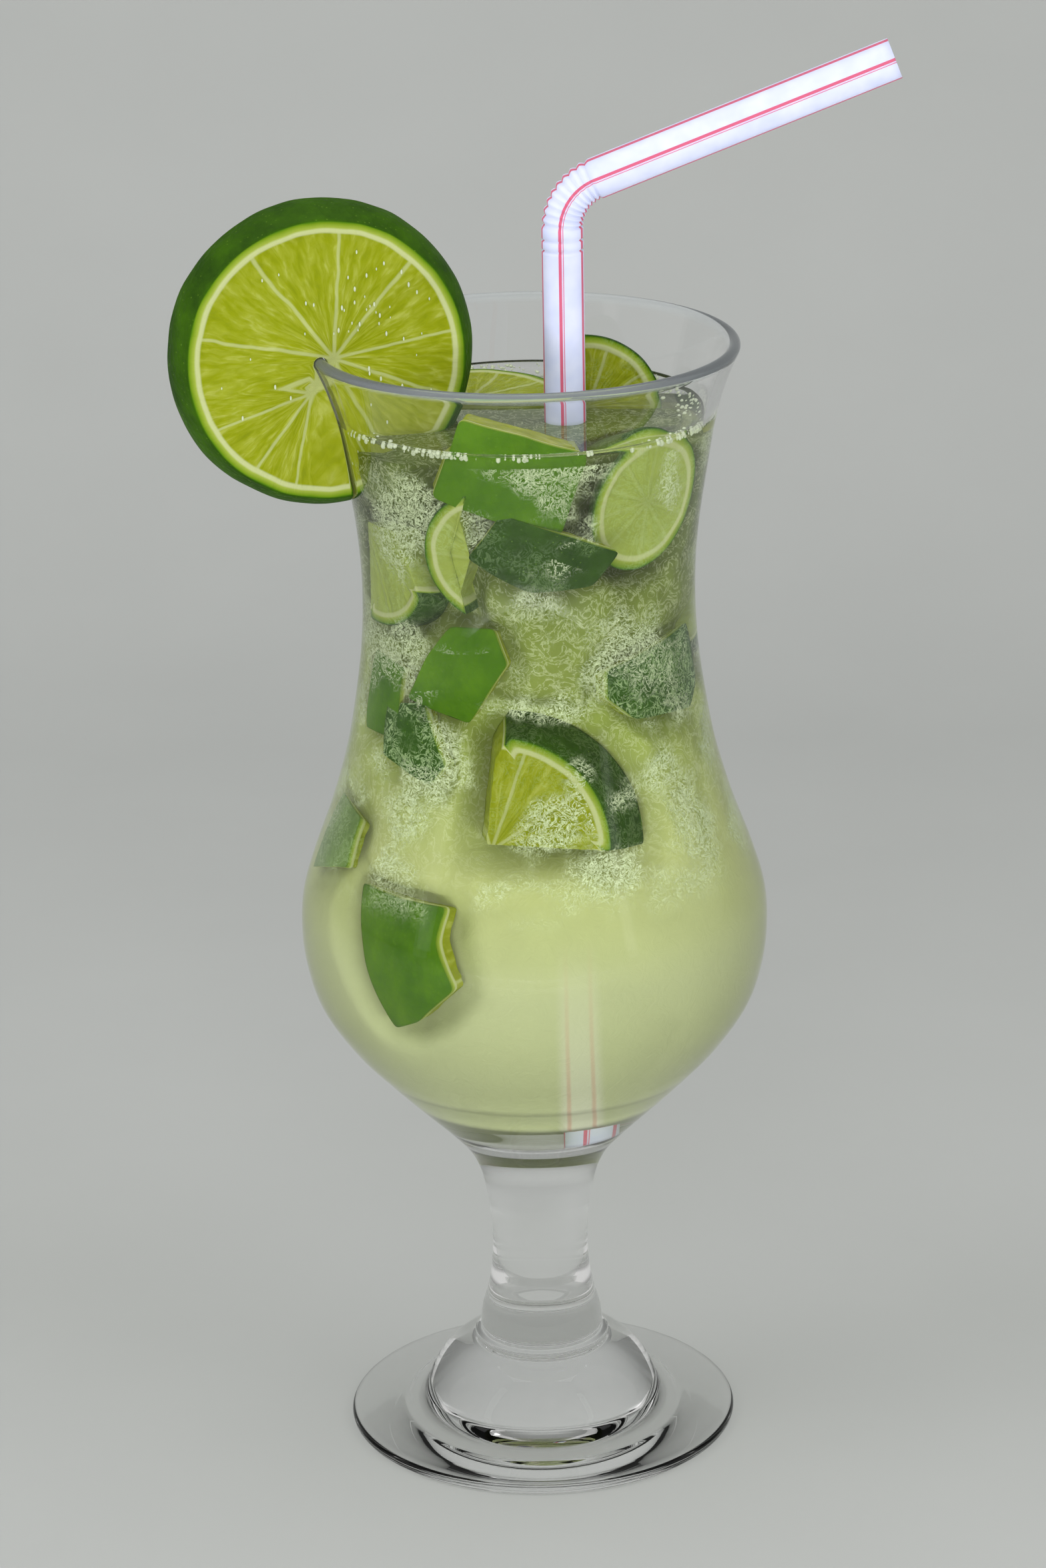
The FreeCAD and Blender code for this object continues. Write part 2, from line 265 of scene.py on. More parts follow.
class GlassShape:
    """Outlines of the glass, as (radius, height) arrays, worked out from the settings."""

    def __init__(self, s):
        self.wall = s.wall / MM
        stem = (s.stem_radius / MM, STEM_HEIGHT)
        bowl = (s.bowl_radius / MM, BOWL_HEIGHT)
        waist = (s.waist_radius / MM, WAIST_HEIGHT)
        lean_x, lean_z = sin(radians(LIP_LEAN)), cos(radians(LIP_LEAN))
        bead = self.wall / 2
        lip = (s.rim_radius / MM, RIM_TOP - bead * (1 + lean_x))
        out = [KNOP]
        out += blend_stations(stem, KNOP, [(0.78, 0.86), (0.55, 0.42), (0.3, 0.13)])
        out += [stem]
        out += blend_stations(
            stem, bowl,
            [(0.10, 0.01), (0.17, 0.03), (0.235, 0.06), (0.30, 0.12), (0.375, 0.245),
             (0.465, 0.42), (0.56, 0.60), (0.655, 0.765), (0.78, 0.92), (0.90, 0.985)],
        )
        out += [bowl]
        out += blend_stations(
            bowl, waist,
            [(0.09, 0.04), (0.20, 0.20), (0.36, 0.49), (0.52, 0.72), (0.68, 0.87), (0.84, 0.97)],
        )
        out += [waist]
        out += blend_stations(waist, lip, [(0.23, 0.07), (0.50, 0.28), (0.75, 0.52), (0.88, 0.73)])
        out += [(lip[0] - lean_x * 1.5, lip[1] - lean_z * 1.5), lip]
        self.outer = curve_through(out, 1.1)
        self.inner = self.cavity_line()
        middle = np.array((lip[0] - lean_z * bead, lip[1] + lean_x * bead))
        self.rim = np.array([
            middle + bead * np.array((cos(a), sin(a)))
            for a in np.radians(-LIP_LEAN) + np.linspace(0, pi, 12)
        ])
        self.foot = self.foot_line(s.foot_radius / MM)

    def cavity_line(self):
        """Inside of the bowl: the outside moved in by the wall, run down to the flat floor."""
        slope = np.gradient(self.outer, axis=0)
        slope /= np.linalg.norm(slope, axis=1)[:, None]
        share = np.clip((BOWL_HEIGHT + 12 - self.outer[:, 1]) / 40.0, 0, 1)
        thick = self.wall + share
        line = self.outer + np.stack([-slope[:, 1], slope[:, 0]], 1) * thick[:, None]
        line = line[self.outer[:, 1] > STEM_HEIGHT + 0.47 * (BOWL_HEIGHT - STEM_HEIGHT)]
        edge = (CAVITY_FLAT, CAVITY_FLOOR)
        toe = curve_through(
            [edge, (CAVITY_FLAT + 1.2, CAVITY_FLOOR + 0.08)]
            + blend_stations(edge, tuple(line[0]), [(0.30, 0.55)])
            + [tuple(line[0]), tuple(line[3])],
            1.0,
        )
        toe = toe[toe[:, 1] < line[0][1] - 0.3]
        return np.vstack([toe, line])

    def foot_line(self, radius):
        """Underside, edge, plate, dome and collar, from the axis to the knop."""
        bead = FOOT_EDGE / 2
        under = [(0, UNDERCUT[1]), (8, UNDERCUT[1]), (16, UNDERCUT[1] - 0.02),
                 (UNDERCUT[0] - 2.0, UNDERCUT[1] - 0.15), (UNDERCUT[0] - 0.6, UNDERCUT[1] / 2),
                 (UNDERCUT[0] + 0.4, 0.06), (UNDERCUT[0] + 1.6, 0.02), (radius - bead, 0.02)]
        edge = [(radius - bead + bead * sin(a), bead - bead * cos(a))
                for a in np.linspace(0.2, pi - 0.2, 9)]
        plate = curve_through([
            (radius - bead, FOOT_EDGE),
            (radius - 0.45 * (radius - SKIRT[0]), FOOT_EDGE + 0.30 * (SKIRT[1] - FOOT_EDGE)),
            (SKIRT[0] + 1.5, SKIRT[1] - 0.75),
            SKIRT,
        ])
        rise, run = COLLAR[1] - SKIRT[1], SKIRT[0] - COLLAR[0]
        dome = curve_through([
            SKIRT,
            (SKIRT[0] - 0.11 * run, SKIRT[1] + 0.28 * rise),
            (SKIRT[0] - 0.33 * run, SKIRT[1] + 0.60 * rise),
            (SKIRT[0] - 0.63 * run, SKIRT[1] + 0.86 * rise),
            COLLAR,
        ])
        band = [(COLLAR[0] + 0.35 * sin(a), COLLAR[1] + 0.7 - 0.7 * cos(a))
                for a in np.linspace(0.3, pi, 7)]
        return np.vstack([curve_through(under, 1.6), edge, plate, dome[1:], band])

    def outline(self):
        """Whole outline from the underside's middle to the floor of the cavity."""
        axis_in = [(CAVITY_FLAT / 2, CAVITY_FLOOR), (0, CAVITY_FLOOR)]
        return np.vstack([self.foot, self.outer, self.rim[1:-1], self.inner[::-1], axis_in])

    def inside_radius(self, height):
        return float(np.interp(height, self.inner[:, 1], self.inner[:, 0]))


# ---------------------------------------------------------------- materials
def clear_surface(tree, ior, shade):
    """Clear dielectric that lets lamps through to what stands behind it."""
    glass = add(tree, "ShaderNodeBsdfPrincipled", {
        "Base Color": grey(1.0), "Roughness": 0.0, "IOR": ior, "Transmission Weight": 1.0,
        "Specular Tint": grey(0.35),
    })
    through = add(tree, "ShaderNodeBsdfTransparent", {"Color": shade})
    path = add(tree, "ShaderNodeLightPath")
    return add(tree, "ShaderNodeMixShader", {
        0: path.outputs["Is Shadow Ray"], 1: glass, 2: through,
    }).outputs[0]


def torn_threads(tree, at, spacing, half_width, amount, **grain):
    """Noise that many millimetres coarse, and threads of pulp or froth along its ridges."""
    waves = add(tree, "ShaderNodeTexNoise", {"Vector": at, "Scale": 1 / (spacing * MM), **grain})
    ridge = add(tree, "ShaderNodeMath", {0: waves, 1: 0.5}, operation="SUBTRACT")
    ridge = add(tree, "ShaderNodeMath", {0: ridge}, operation="ABSOLUTE")
    thread = add(tree, "ShaderNodeMapRange", {
        "Value": ridge, "From Min": half_width, "From Max": 0.0, "To Max": amount,
    }, interpolation_type="SMOOTHSTEP")
    return waves, thread


def glass_material():
    """Soda-lime glass, blown in a mould and fire-polished: colourless, sharp highlights.

    The thick bead of the rim has a pale matt grey mixed into it, a painted highlight that makes it
    read paler than the wall.
    """
    made, tree, out = new_material("soda-lime glass, fire-polished")
    surface = clear_surface(tree, 1.5, grey(0.99))
    at = add(tree, "ShaderNodeTexCoord").outputs["Object"]
    height = add(tree, "ShaderNodeSeparateXYZ", {0: at}).outputs["Z"]
    # painted highlight: up to 22% of a pale matt grey mixed into the glass over the top of the rim
    bead = add(tree, "ShaderNodeMapRange", {
        "Value": height, "From Min": (RIM_TOP - 1.9) * MM,
        "From Max": (RIM_TOP - 0.7) * MM, "To Max": 0.22,
    }, interpolation_type="SMOOTHSTEP")
    pale = add(tree, "ShaderNodeBsdfPrincipled", {
        "Base Color": linear("#C4CCD0"), "Roughness": 0.3,
    })
    both = add(tree, "ShaderNodeMixShader", {
        0: bead, 1: surface, 2: pale,
    })
    tree.links.new(both.outputs[0], out.inputs["Surface"])
    return made


def drink_material(s):
    """Lime juice, soda and rum: clear body with fine pulp in it that makes it milky."""
    made, tree, out = new_material("lime soda with fine pulp")
    surface = clear_surface(tree, 1.333, (0.97, 0.99, 0.93, 1))
    haze = add(tree, "ShaderNodeVolumeScatter", {
        "Color": s.drink_colour, "Density": 9.0, "Anisotropy": 0.3,
    })
    soak = add(tree, "ShaderNodeVolumeAbsorption", {"Color": linear("#D3DE8C"), "Density": 10.0})
    both = add(tree, "ShaderNodeAddShader", {0: haze, 1: soak})
    tree.links.new(surface, out.inputs["Surface"])
    tree.links.new(both.outputs[0], out.inputs["Volume"])
    return made


def ice_heart_material(s):
    """Crushed ice packed with bruised mint and pulp: matt, in soft pale and dark patches.

    Low in the bowl the pulp is smooth, and the straw shows through it as a pale stripe.
    """
    made, tree, out = new_material("crushed ice in lime pulp")
    at = add(tree, "ShaderNodeTexCoord").outputs["Object"]
    place = add(tree, "ShaderNodeSeparateXYZ", {0: at}).outputs
    # lumps of ice about 11 mm across, and pulp threads about 3 mm apart
    lumps = add(tree, "ShaderNodeTexNoise", {
        "Vector": at, "Scale": 1 / (11 * MM), "Detail": 2.0, "Roughness": 0.45,
        "Distortion": 0.8,
    })
    wisps, thread = torn_threads(tree, at, 3.2, 0.045, 0.4, Detail=4.0, Roughness=0.6,
                                 Distortion=1.8)
    rise = add(tree, "ShaderNodeMapRange", {
        "Value": place["Z"], "From Min": 96 * MM, "From Max": 176 * MM,
    })
    depth = add(tree, "ShaderNodeValToRGB", {0: rise}, [
        (0.0, s.drink_colour), (0.24, linear("#B4BC7C")), (0.55, linear("#94A450")),
        (1.0, s.ice_colour),
    ])
    patch = add(tree, "ShaderNodeValToRGB", {0: lumps}, [
        (0.30, grey(0.62)), (0.47, grey(0.9)), (0.60, grey(1.0)), (0.74, grey(1.0)),
    ])
    shade = add(tree, "ShaderNodeMix", {
        "Factor": rise, 6: grey(1.0), 7: patch,
    }, data_type="RGBA")
    tone = add(tree, "ShaderNodeMix", {
        "Factor": 1.0, 6: depth, 7: shade.outputs[2],
    }, data_type="RGBA", blend_type="MULTIPLY")
    calm = add(tree, "ShaderNodeMapRange", {
        "Value": place["Z"], "From Min": 106 * MM, "From Max": 126 * MM,
    }, interpolation_type="SMOOTHSTEP")
    torn = add(tree, "ShaderNodeMath", {0: thread, 1: calm},
               operation="MULTIPLY")
    pulp = add(tree, "ShaderNodeMix", {
        "Factor": torn, 6: tone.outputs[2], 7: linear("#D5DDB4"),
    }, data_type="RGBA")
    # how far to the side of the straw's middle, in millimetres
    aside = add(tree, "ShaderNodeMath", {0: place["X"], 1: STRAW_SHOWS_AT * MM},
                operation="SUBTRACT")
    aside = add(tree, "ShaderNodeMath", {0: aside, 1: 1 / MM}, operation="MULTIPLY")
    aside = add(tree, "ShaderNodeMath", {0: aside}, operation="ABSOLUTE")
    low = add(tree, "ShaderNodeMapRange", {
        "Value": place["Z"], "From Min": 106 * MM, "From Max": 66 * MM,
    })
    within = add(tree, "ShaderNodeMapRange", {
        "Value": aside, "From Min": 4.2, "From Max": 2.2, "To Max": 0.6,
    }, interpolation_type="SMOOTHSTEP")
    within = add(tree, "ShaderNodeMath", {0: within, 1: low},
                 operation="MULTIPLY")
    straw = add(tree, "ShaderNodeMix", {
        "Factor": within, 6: pulp.outputs[2], 7: linear("#DADACB"),
    }, data_type="RGBA")
    edge = add(tree, "ShaderNodeMath", {0: aside, 1: 2.0}, operation="SUBTRACT")
    edge = add(tree, "ShaderNodeMath", {0: edge}, operation="ABSOLUTE")
    line = add(tree, "ShaderNodeMapRange", {
        "Value": edge, "From Min": 0.55, "From Max": 0.1, "To Max": 0.55,
    }, interpolation_type="SMOOTHSTEP")
    line = add(tree, "ShaderNodeMath", {0: line, 1: low},
               operation="MULTIPLY")
    colour = add(tree, "ShaderNodeMix", {
        "Factor": line, 6: straw.outputs[2], 7: linear("#BC7F68"),
    }, data_type="RGBA")
    relief = add(tree, "ShaderNodeBump", {
        "Height": wisps, "Distance": 0.4 * MM, "Strength": 0.35,
    })
    body = add(tree, "ShaderNodeBsdfPrincipled", {
        "Base Color": colour.outputs[2], "Roughness": 0.8, "Normal": relief,
        "Specular IOR Level": 0.03,
    })
    # some of the light that falls on the pulp comes out on its far side
    path = add(tree, "ShaderNodeLightPath")
    through = add(tree, "ShaderNodeBsdfTransparent", {"Color": (0.72, 0.75, 0.62, 1)})
    both = add(tree, "ShaderNodeMixShader", {
        0: path.outputs["Is Shadow Ray"], 1: body, 2: through,
    })
    tree.links.new(both.outputs[0], out.inputs["Surface"])
    return made


def froth_material():
    """Fine bubbles and torn pulp held against the glass: white-green, in threads."""
    made, tree, out = new_material("froth and torn pulp")
    at = add(tree, "ShaderNodeTexCoord").outputs["Object"]
    thread = torn_threads(tree, at, 2.2, 0.036, 1.0, Detail=6.0, Roughness=0.62,
                          Distortion=2.2)[1]
    patches = add(tree, "ShaderNodeTexNoise", {
        "Vector": at, "Scale": 1 / (13 * MM), "Detail": 2.0,
    })
    patch = add(tree, "ShaderNodeMapRange", {
        "Value": patches, "From Min": 0.48, "From Max": 0.62,
    }, interpolation_type="SMOOTHSTEP")
    height = add(tree, "ShaderNodeSeparateXYZ", {0: at}).outputs["Z"]
    fade = add(tree, "ShaderNodeMapRange", {
        "Value": height, "From Min": 106 * MM, "From Max": 118 * MM,
    }, interpolation_type="SMOOTHSTEP")
    cover = thread
    for share in (patch, fade, 0.8):
        cover = add(tree, "ShaderNodeMath", {0: cover, 1: share}, operation="MULTIPLY")
    white = add(tree, "ShaderNodeBsdfPrincipled", {
        "Base Color": linear("#D9E6BE"), "Roughness": 0.6,
    })
    empty = add(tree, "ShaderNodeBsdfTransparent")
    both = add(tree, "ShaderNodeMixShader", {
        0: cover, 1: empty, 2: white,
    })
    tree.links.new(both.outputs[0], out.inputs["Surface"])
    return made


SEGMENTS = 10


def lime_material(s, name, peel, peel_light, frost=0.0, shine=0.08, soak=0.0):
    """Persian lime: waxy pitted peel, spongy pith, and wet flesh in segments of juice sacs.

    The mesh says how deep under the peel each point lies, and where it is from the core.
    """
    made, tree, out = new_material(name)
    at = add(tree, "ShaderNodeTexCoord").outputs["Object"]
    depth = add(tree, "ShaderNodeAttribute", attribute_name="depth").outputs["Fac"]
    spoke = add(tree, "ShaderNodeAttribute", attribute_name="spoke").outputs["Vector"]
    split = add(tree, "ShaderNodeSeparateXYZ", {0: spoke}).outputs
    sway = add(tree, "ShaderNodeTexNoise", {"Vector": at, "Scale": 1 / (5 * MM), "Detail": 1.0})
    angle = add(tree, "ShaderNodeMath", {0: split["Y"], 1: split["X"]}, operation="ARCTAN2")
    turn = add(tree, "ShaderNodeMath", {0: angle, 1: SEGMENTS / TAU}, operation="MULTIPLY")
    turn = add(tree, "ShaderNodeMath", {0: sway, 1: 0.10, 2: turn},
               operation="MULTIPLY_ADD")
    flat = add(tree, "ShaderNodeCombineXYZ", {0: split["X"], 1: split["Y"]})
    reach = add(tree, "ShaderNodeVectorMath", {0: flat}, operation="LENGTH")
    near = add(tree, "ShaderNodeMath", {0: turn, 1: 0.5}, operation="PINGPONG")
    gap = add(tree, "ShaderNodeMath", {0: near, 1: reach.outputs["Value"]},
              operation="MULTIPLY")
    gap = add(tree, "ShaderNodeMath", {0: gap, 1: TAU / SEGMENTS}, operation="MULTIPLY")
    web = add(tree, "ShaderNodeMapRange", {
        "Value": gap, "From Min": 0.42, "From Max": 0.12,
    }, interpolation_type="SMOOTHSTEP")
    core = add(tree, "ShaderNodeMapRange", {
        "Value": reach.outputs["Value"], "From Min": 1.5, "From Max": 0.8,
    }, interpolation_type="SMOOTHSTEP")
    # juice sacs: cells about 1 mm wide and 6 mm long, laid along the spokes
    sac_at = add(tree, "ShaderNodeCombineXYZ", {0: turn, 1: reach.outputs["Value"],
                                                2: split["Z"]})
    sac_at = add(tree, "ShaderNodeVectorMath", {0: sac_at, 1: (7.0, 0.17, 0.17)},
                 operation="MULTIPLY")
    sacs = add(tree, "ShaderNodeTexVoronoi", {"Vector": sac_at, "Scale": 1.0},
               feature="SMOOTH_F1")
    streaks = add(tree, "ShaderNodeTexNoise", {
        "Vector": sac_at, "Scale": 1.9, "Detail": 3.0, "Distortion": 0.5,
    })
    juice = add(tree, "ShaderNodeMath", {0: sacs.outputs["Distance"], 1: 0.5, 2: streaks},
                operation="MULTIPLY_ADD")
    flesh = add(tree, "ShaderNodeValToRGB", {0: juice}, [
        (0.40, linear("#78830F")), (0.62, s.flesh_colour), (0.82, linear("#8D9628")),
        (1.0, linear("#9DA448")),
    ])
    veined = add(tree, "ShaderNodeMath", {0: web, 1: core},
                 operation="MAXIMUM")
    veined = add(tree, "ShaderNodeMath", {0: veined, 1: 0.6}, operation="MULTIPLY")
    inside = add(tree, "ShaderNodeMix", {
        "Factor": veined, 6: flesh, 7: s.pith_colour,
    }, data_type="RGBA")
    if soak:
        inside = add(tree, "ShaderNodeMix", {
            "Factor": soak, 6: inside.outputs[2], 7: linear("#95A552"),
        }, data_type="RGBA")
    # peel: patches of tone 8 mm across, oil glands 1.1 mm apart
    patches = add(tree, "ShaderNodeTexNoise", {
        "Vector": at, "Scale": 1 / (8 * MM), "Detail": 4.0, "Roughness": 0.6,
    })
    glands = add(tree, "ShaderNodeTexVoronoi", {"Vector": at, "Scale": 1 / (1.1 * MM)})
    skin_tone = add(tree, "ShaderNodeValToRGB", {0: patches}, [
        (0.34, peel), (0.66, peel_light),
    ])
    spots = add(tree, "ShaderNodeMapRange", {
        "Value": glands.outputs["Distance"], "From Min": 0.16, "From Max": 0.05,
        "To Max": 0.35,
    })
    skin = add(tree, "ShaderNodeMix", {
        "Factor": spots, 6: skin_tone, 7: linear("#7FA53A"),
    }, data_type="RGBA")
    ragged = add(tree, "ShaderNodeMath", {0: sway, 1: 0.6, 2: -0.3},
                 operation="MULTIPLY_ADD")
    layer = add(tree, "ShaderNodeMath", {0: depth, 1: ragged}, operation="ADD")
    layer = add(tree, "ShaderNodeMath", {0: layer, 1: 4.0}, operation="DIVIDE")
    # share of a 4 mm span: green to 0.2, zest to 1, pith to 2 mm, then flesh
    rim = add(tree, "ShaderNodeValToRGB", {0: layer}, [
        (0.03, linear("#3E6A0C")), (0.13, linear("#6C8818")), (0.30, linear("#8F9F3C")),
        (0.38, s.pith_colour), (0.50, s.pith_colour),
    ])
    to_rim = add(tree, "ShaderNodeMapRange", {"Value": depth, "From Min": 0.05, "From Max": 0.3})
    to_flesh = add(tree, "ShaderNodeMapRange", {
        "Value": layer, "From Min": 0.50, "From Max": 0.60,
    }, interpolation_type="SMOOTHSTEP")
    colour = add(tree, "ShaderNodeMix", {
        "Factor": to_rim, 6: skin.outputs[2], 7: rim,
    }, data_type="RGBA")
    colour = add(tree, "ShaderNodeMix", {
        "Factor": to_flesh, 6: colour.outputs[2], 7: inside.outputs[2],
    }, data_type="RGBA")
    if frost:
        colour = frosted(tree, at, colour, frost)
    pits = add(tree, "ShaderNodeBump", {
        "Height": glands.outputs["Distance"], "Distance": 0.22 * MM, "Strength": 0.7,
    })
    sac_relief = add(tree, "ShaderNodeBump", {
        "Height": juice, "Distance": 0.35 * MM, "Strength": 0.45,
    })
    normal = add(tree, "ShaderNodeMix", {
        "Factor": to_rim, 4: pits, 5: sac_relief,
    }, data_type="VECTOR")
    wet = add(tree, "ShaderNodeMapRange", {
        "Value": to_flesh, "To Min": 0.58, "To Max": 0.26,
    })
    body = add(tree, "ShaderNodeBsdfPrincipled", {
        "Base Color": colour.outputs[2], "Roughness": wet,
        "Normal": normal.outputs[1], "Specular IOR Level": shine,
        "Subsurface Weight": 0.12, "Subsurface Radius": (1.0, 1.0, 0.35),
        "Subsurface Scale": 1.6 * MM,
    })
    tree.links.new(body.outputs[0], out.inputs["Surface"])
    return made


def frosted(tree, at, colour, amount):
    """Threads of froth clinging to a peel, over its own colour."""
    thread = torn_threads(tree, at, 2.4, 0.06, amount, Detail=5.0, Roughness=0.6,
                          Distortion=2.5)[1]
    clumps = add(tree, "ShaderNodeTexNoise", {"Vector": at, "Scale": 1 / (6 * MM), "Detail": 2.0})
    clump = add(tree, "ShaderNodeMapRange", {
        "Value": clumps, "From Min": 0.36, "From Max": 0.56,
    }, interpolation_type="SMOOTHSTEP")
    cover = add(tree, "ShaderNodeMath", {0: thread, 1: clump},
                operation="MULTIPLY")
    return add(tree, "ShaderNodeMix", {
        "Factor": cover, 6: colour.outputs[2], 7: linear("#B9D19C"),
    }, data_type="RGBA")


def straw_material(s):
    """Polypropylene, extruded with coloured stripes in it: smooth, waxy, a little see-through."""
    made, tree, out = new_material("extruded polypropylene, striped")
    around = add(tree, "ShaderNodeAttribute", attribute_name="around").outputs["Fac"]
    # turns counted in stripes, so that a stripe lies at each whole number
    near = add(tree, "ShaderNodeMath", {0: around, 1: 0.5}, operation="PINGPONG")
    stripe = add(tree, "ShaderNodeMapRange", {
        "Value": near, "From Min": 0.108, "From Max": 0.088,
    })
    at = add(tree, "ShaderNodeTexCoord").outputs["Object"]
    drawn = add(tree, "ShaderNodeTexNoise", {"Vector": at, "Scale": 1 / (4 * MM), "Detail": 2.0})
    white = add(tree, "ShaderNodeValToRGB", {0: drawn}, [
        (0.3, linear("#CBD2F3")), (0.7, linear("#D8DDF8")),
    ])
    colour = add(tree, "ShaderNodeMix", {
        "Factor": stripe, 6: white, 7: s.stripe_colour,
    }, data_type="RGBA")
    body = add(tree, "ShaderNodeBsdfPrincipled", {
        "Base Color": colour.outputs[2], "Roughness": 0.32, "IOR": 1.49,
        "Subsurface Weight": 0.15, "Subsurface Radius": (1, 1, 1), "Subsurface Scale": 0.8 * MM,
    })
    tree.links.new(body.outputs[0], out.inputs["Surface"])
    return made


def bubble_and_glint_material():
    """Gas bubbles and wet froth: thin near-white shells. On the wheel's juice beads the near-white
    also stands in for painted glints.
    """
    made, tree, out = new_material("soda bubbles")
    # near-white: the froth's own colour, and a painted glint where it is put on juice beads
    body = add(tree, "ShaderNodeBsdfPrincipled", {
        "Base Color": linear("#E6EFD2"), "Roughness": 0.12, "IOR": 1.33,
        "Transmission Weight": 0.35,
    })
    tree.links.new(body.outputs[0], out.inputs["Surface"])
    return made


def floor_material(s):
    """Matt paper sweep: pale, with the slight mottle of its pulp."""
    made, tree, out = new_material("matt paper sweep")
    at = add(tree, "ShaderNodeTexCoord").outputs["Object"]
    mottle = add(tree, "ShaderNodeTexNoise", {"Vector": at, "Scale": 1 / (60 * MM), "Detail": 3.0})
    tone = add(tree, "ShaderNodeMapRange", {
        "Value": mottle, "To Min": 0.97, "To Max": 1.03,
    })
    colour = add(tree, "ShaderNodeMix", {
        "Factor": 1.0, 6: s.floor_colour, 7: tone,
    }, data_type="RGBA", blend_type="MULTIPLY")
    body = add(tree, "ShaderNodeBsdfPrincipled", {
        "Base Color": colour.outputs[2], "Roughness": 0.9, "Specular IOR Level": 0.1,
    })
    tree.links.new(body.outputs[0], out.inputs["Surface"])
    return made


made_limes = {}


def lime_kinds(s):
    """The lime's finishes by name: fresh in air, then those that lie in the drink."""
    # name of the finish, darker and lighter peel, then froth on it, shine and soaking
    rows = {
        "fresh": ("lime, fresh cut", s.peel_colour, linear("#345807")),
        "bright": ("lime, young peel, wet", linear("#3B6402"), linear("#507905"), 0.0, 0.04),
        "dark": ("lime, dark peel, wet", linear("#1D3A04"), linear("#2E4F0A"), 0.15, 0.05),
        "soaked": ("lime, slice soaked in drink", linear("#1D3A04"), linear("#2E4F0A"), 0.2,
                   0.05, 0.75),
        "frosted": ("lime, dark peel under froth", linear("#23430A"), linear("#365A16"), 0.6,
                    0.05),
        "veiled": ("lime, peel behind pulp", linear("#5F7A3C"), linear("#74904E"), 0.3, 0.02),
    }
    if not made_limes:
        made_limes.update({kind: lime_material(s, *row) for kind, row in rows.items()})
    return made_limes


# ---------------------------------------------------------------- lime pieces
def rounded_loop(corners, count, softness):
    """Closed outline through straight sides, its corners softened by that many millimetres."""
    pts = np.array(corners, float)
    nxt = np.roll(pts, -1, axis=0)
    lengths = np.hypot(*(nxt - pts).T)
    marks = np.concatenate([[0], np.cumsum(lengths)])
    closed = np.vstack([pts, pts[:1]])
    along = np.linspace(0, marks[-1], count, endpoint=False)
    loop = np.stack([np.interp(along, marks, closed[:, k]) for k in (0, 1)], 1)
    reach = max(1, int(softness / (marks[-1] / count)))
    for _ in range(3):
        loop = sum(np.roll(loop, k, axis=0) for k in range(-reach, reach + 1)) / (2 * reach + 1)
    return loop


def capped_rings(rings):
    """Points and faces of a closed skin through rings, with a middle point at both ends."""
    count = len(rings[0])
    points = np.vstack(rings + [rings[0].mean(0)[None], rings[-1].mean(0)[None]])
    return points, ring_faces(len(rings), count, True)


def stance(origin, bearing=0.0, yaw=0.0, pitch=0.0, roll=0.0):
    """Frame with X to the right, Y up and Z out of the glass at a bearing from the front."""
    a = radians(bearing)
    base = Matrix(((cos(a), 0, sin(a)), (sin(a), 0, -cos(a)), (0, 1, 0))).to_4x4()
    turned = (
        base
        @ Matrix.Rotation(radians(yaw), 4, "Y")
        @ Matrix.Rotation(radians(pitch), 4, "X")
        @ Matrix.Rotation(radians(roll), 4, "Z")
    )
    return Matrix.Translation(Vector(origin)) @ turned


def moved(points, matrix):
    rot = np.array(matrix.to_3x3())
    return points @ rot.T + np.array(matrix.translation)


def segment_gap(spoke):
    """Distance from the nearest membrane, in millimetres."""
    reach = np.hypot(spoke[:, 0], spoke[:, 1])
    turn = np.arctan2(spoke[:, 1], spoke[:, 0]) * SEGMENTS / TAU
    return np.abs(turn - np.round(turn)) * reach * TAU / SEGMENTS


def relief(points, faces, depth, spoke, seed):
    """Give cut flesh its swollen segments and torn skin, and peel its slow dents."""
    mesh = bpy.data.meshes.new("relief")
    mesh.from_pydata(points.tolist(), [], faces)
    outward(mesh)
    normals = np.empty(len(points) * 3, np.float32)
    mesh.vertices.foreach_get("normal", normals)
    bpy.data.meshes.remove(mesh)
    normals = normals.reshape(-1, 3)
    gap = segment_gap(spoke)
    flesh = np.clip((depth - 2.1) / 0.6, 0, 1)
    swell = 0.32 * np.clip(gap / 2.2, 0, 1) ** 0.6 + 0.22 * np.exp(-((gap / 0.35) ** 2))
    rough = np.array([wobble(p, 1.3, seed) for p in points]) * 0.16
    slow = np.array([wobble(p, 6.0, seed + 3) for p in points]) * 0.35
    pith = np.exp(-(((depth - 1.6) / 0.7) ** 2)) * 0.18
    lift = flesh * (swell + rough - 0.3) + pith + (1 - flesh) * slow * 0.5 - 0.1
    return points + normals * lift[:, None]


def seated(points, shape, bearing, play):
    """Slide a piece in from the wall, or out to it, until it is that far from the glass."""
    way = np.array((sin(radians(bearing)), -cos(radians(bearing)), 0.0))
    for _ in range(4):
        low = points[points[:, 2] < RIM_TOP - 8]
        wall = np.interp(low[:, 2], shape.inner[:, 1], shape.inner[:, 0])
        gap = (wall - np.hypot(low[:, 0], low[:, 1])).min()
        points = points + way * (gap - play)
    return points


def lime_mesh(name, rings, depth, spoke, place, material, seed, seat=None):
    """Finish a lime piece from rings in its own frame, seated by the wall if asked."""
    points, faces = capped_rings(rings)
    depth = np.concatenate([depth, [depth[:len(rings[0])].mean(), depth[-len(rings[0]):].mean()]])
    spoke = np.vstack([spoke, spoke[:len(rings[0])].mean(0), spoke[-len(rings[0]):].mean(0)])
    points = moved(relief(points, faces, depth, spoke, seed), place)
    if seat:
        points = seated(points, *seat)
    return make_piece(name, points, faces, material, {"depth": depth}, {"spoke": spoke})


LIME_LONG = 1.18  # how much longer than wide a lime is
TAPER = 0.9  # width of a chunk's inner side, as a share of its peel's


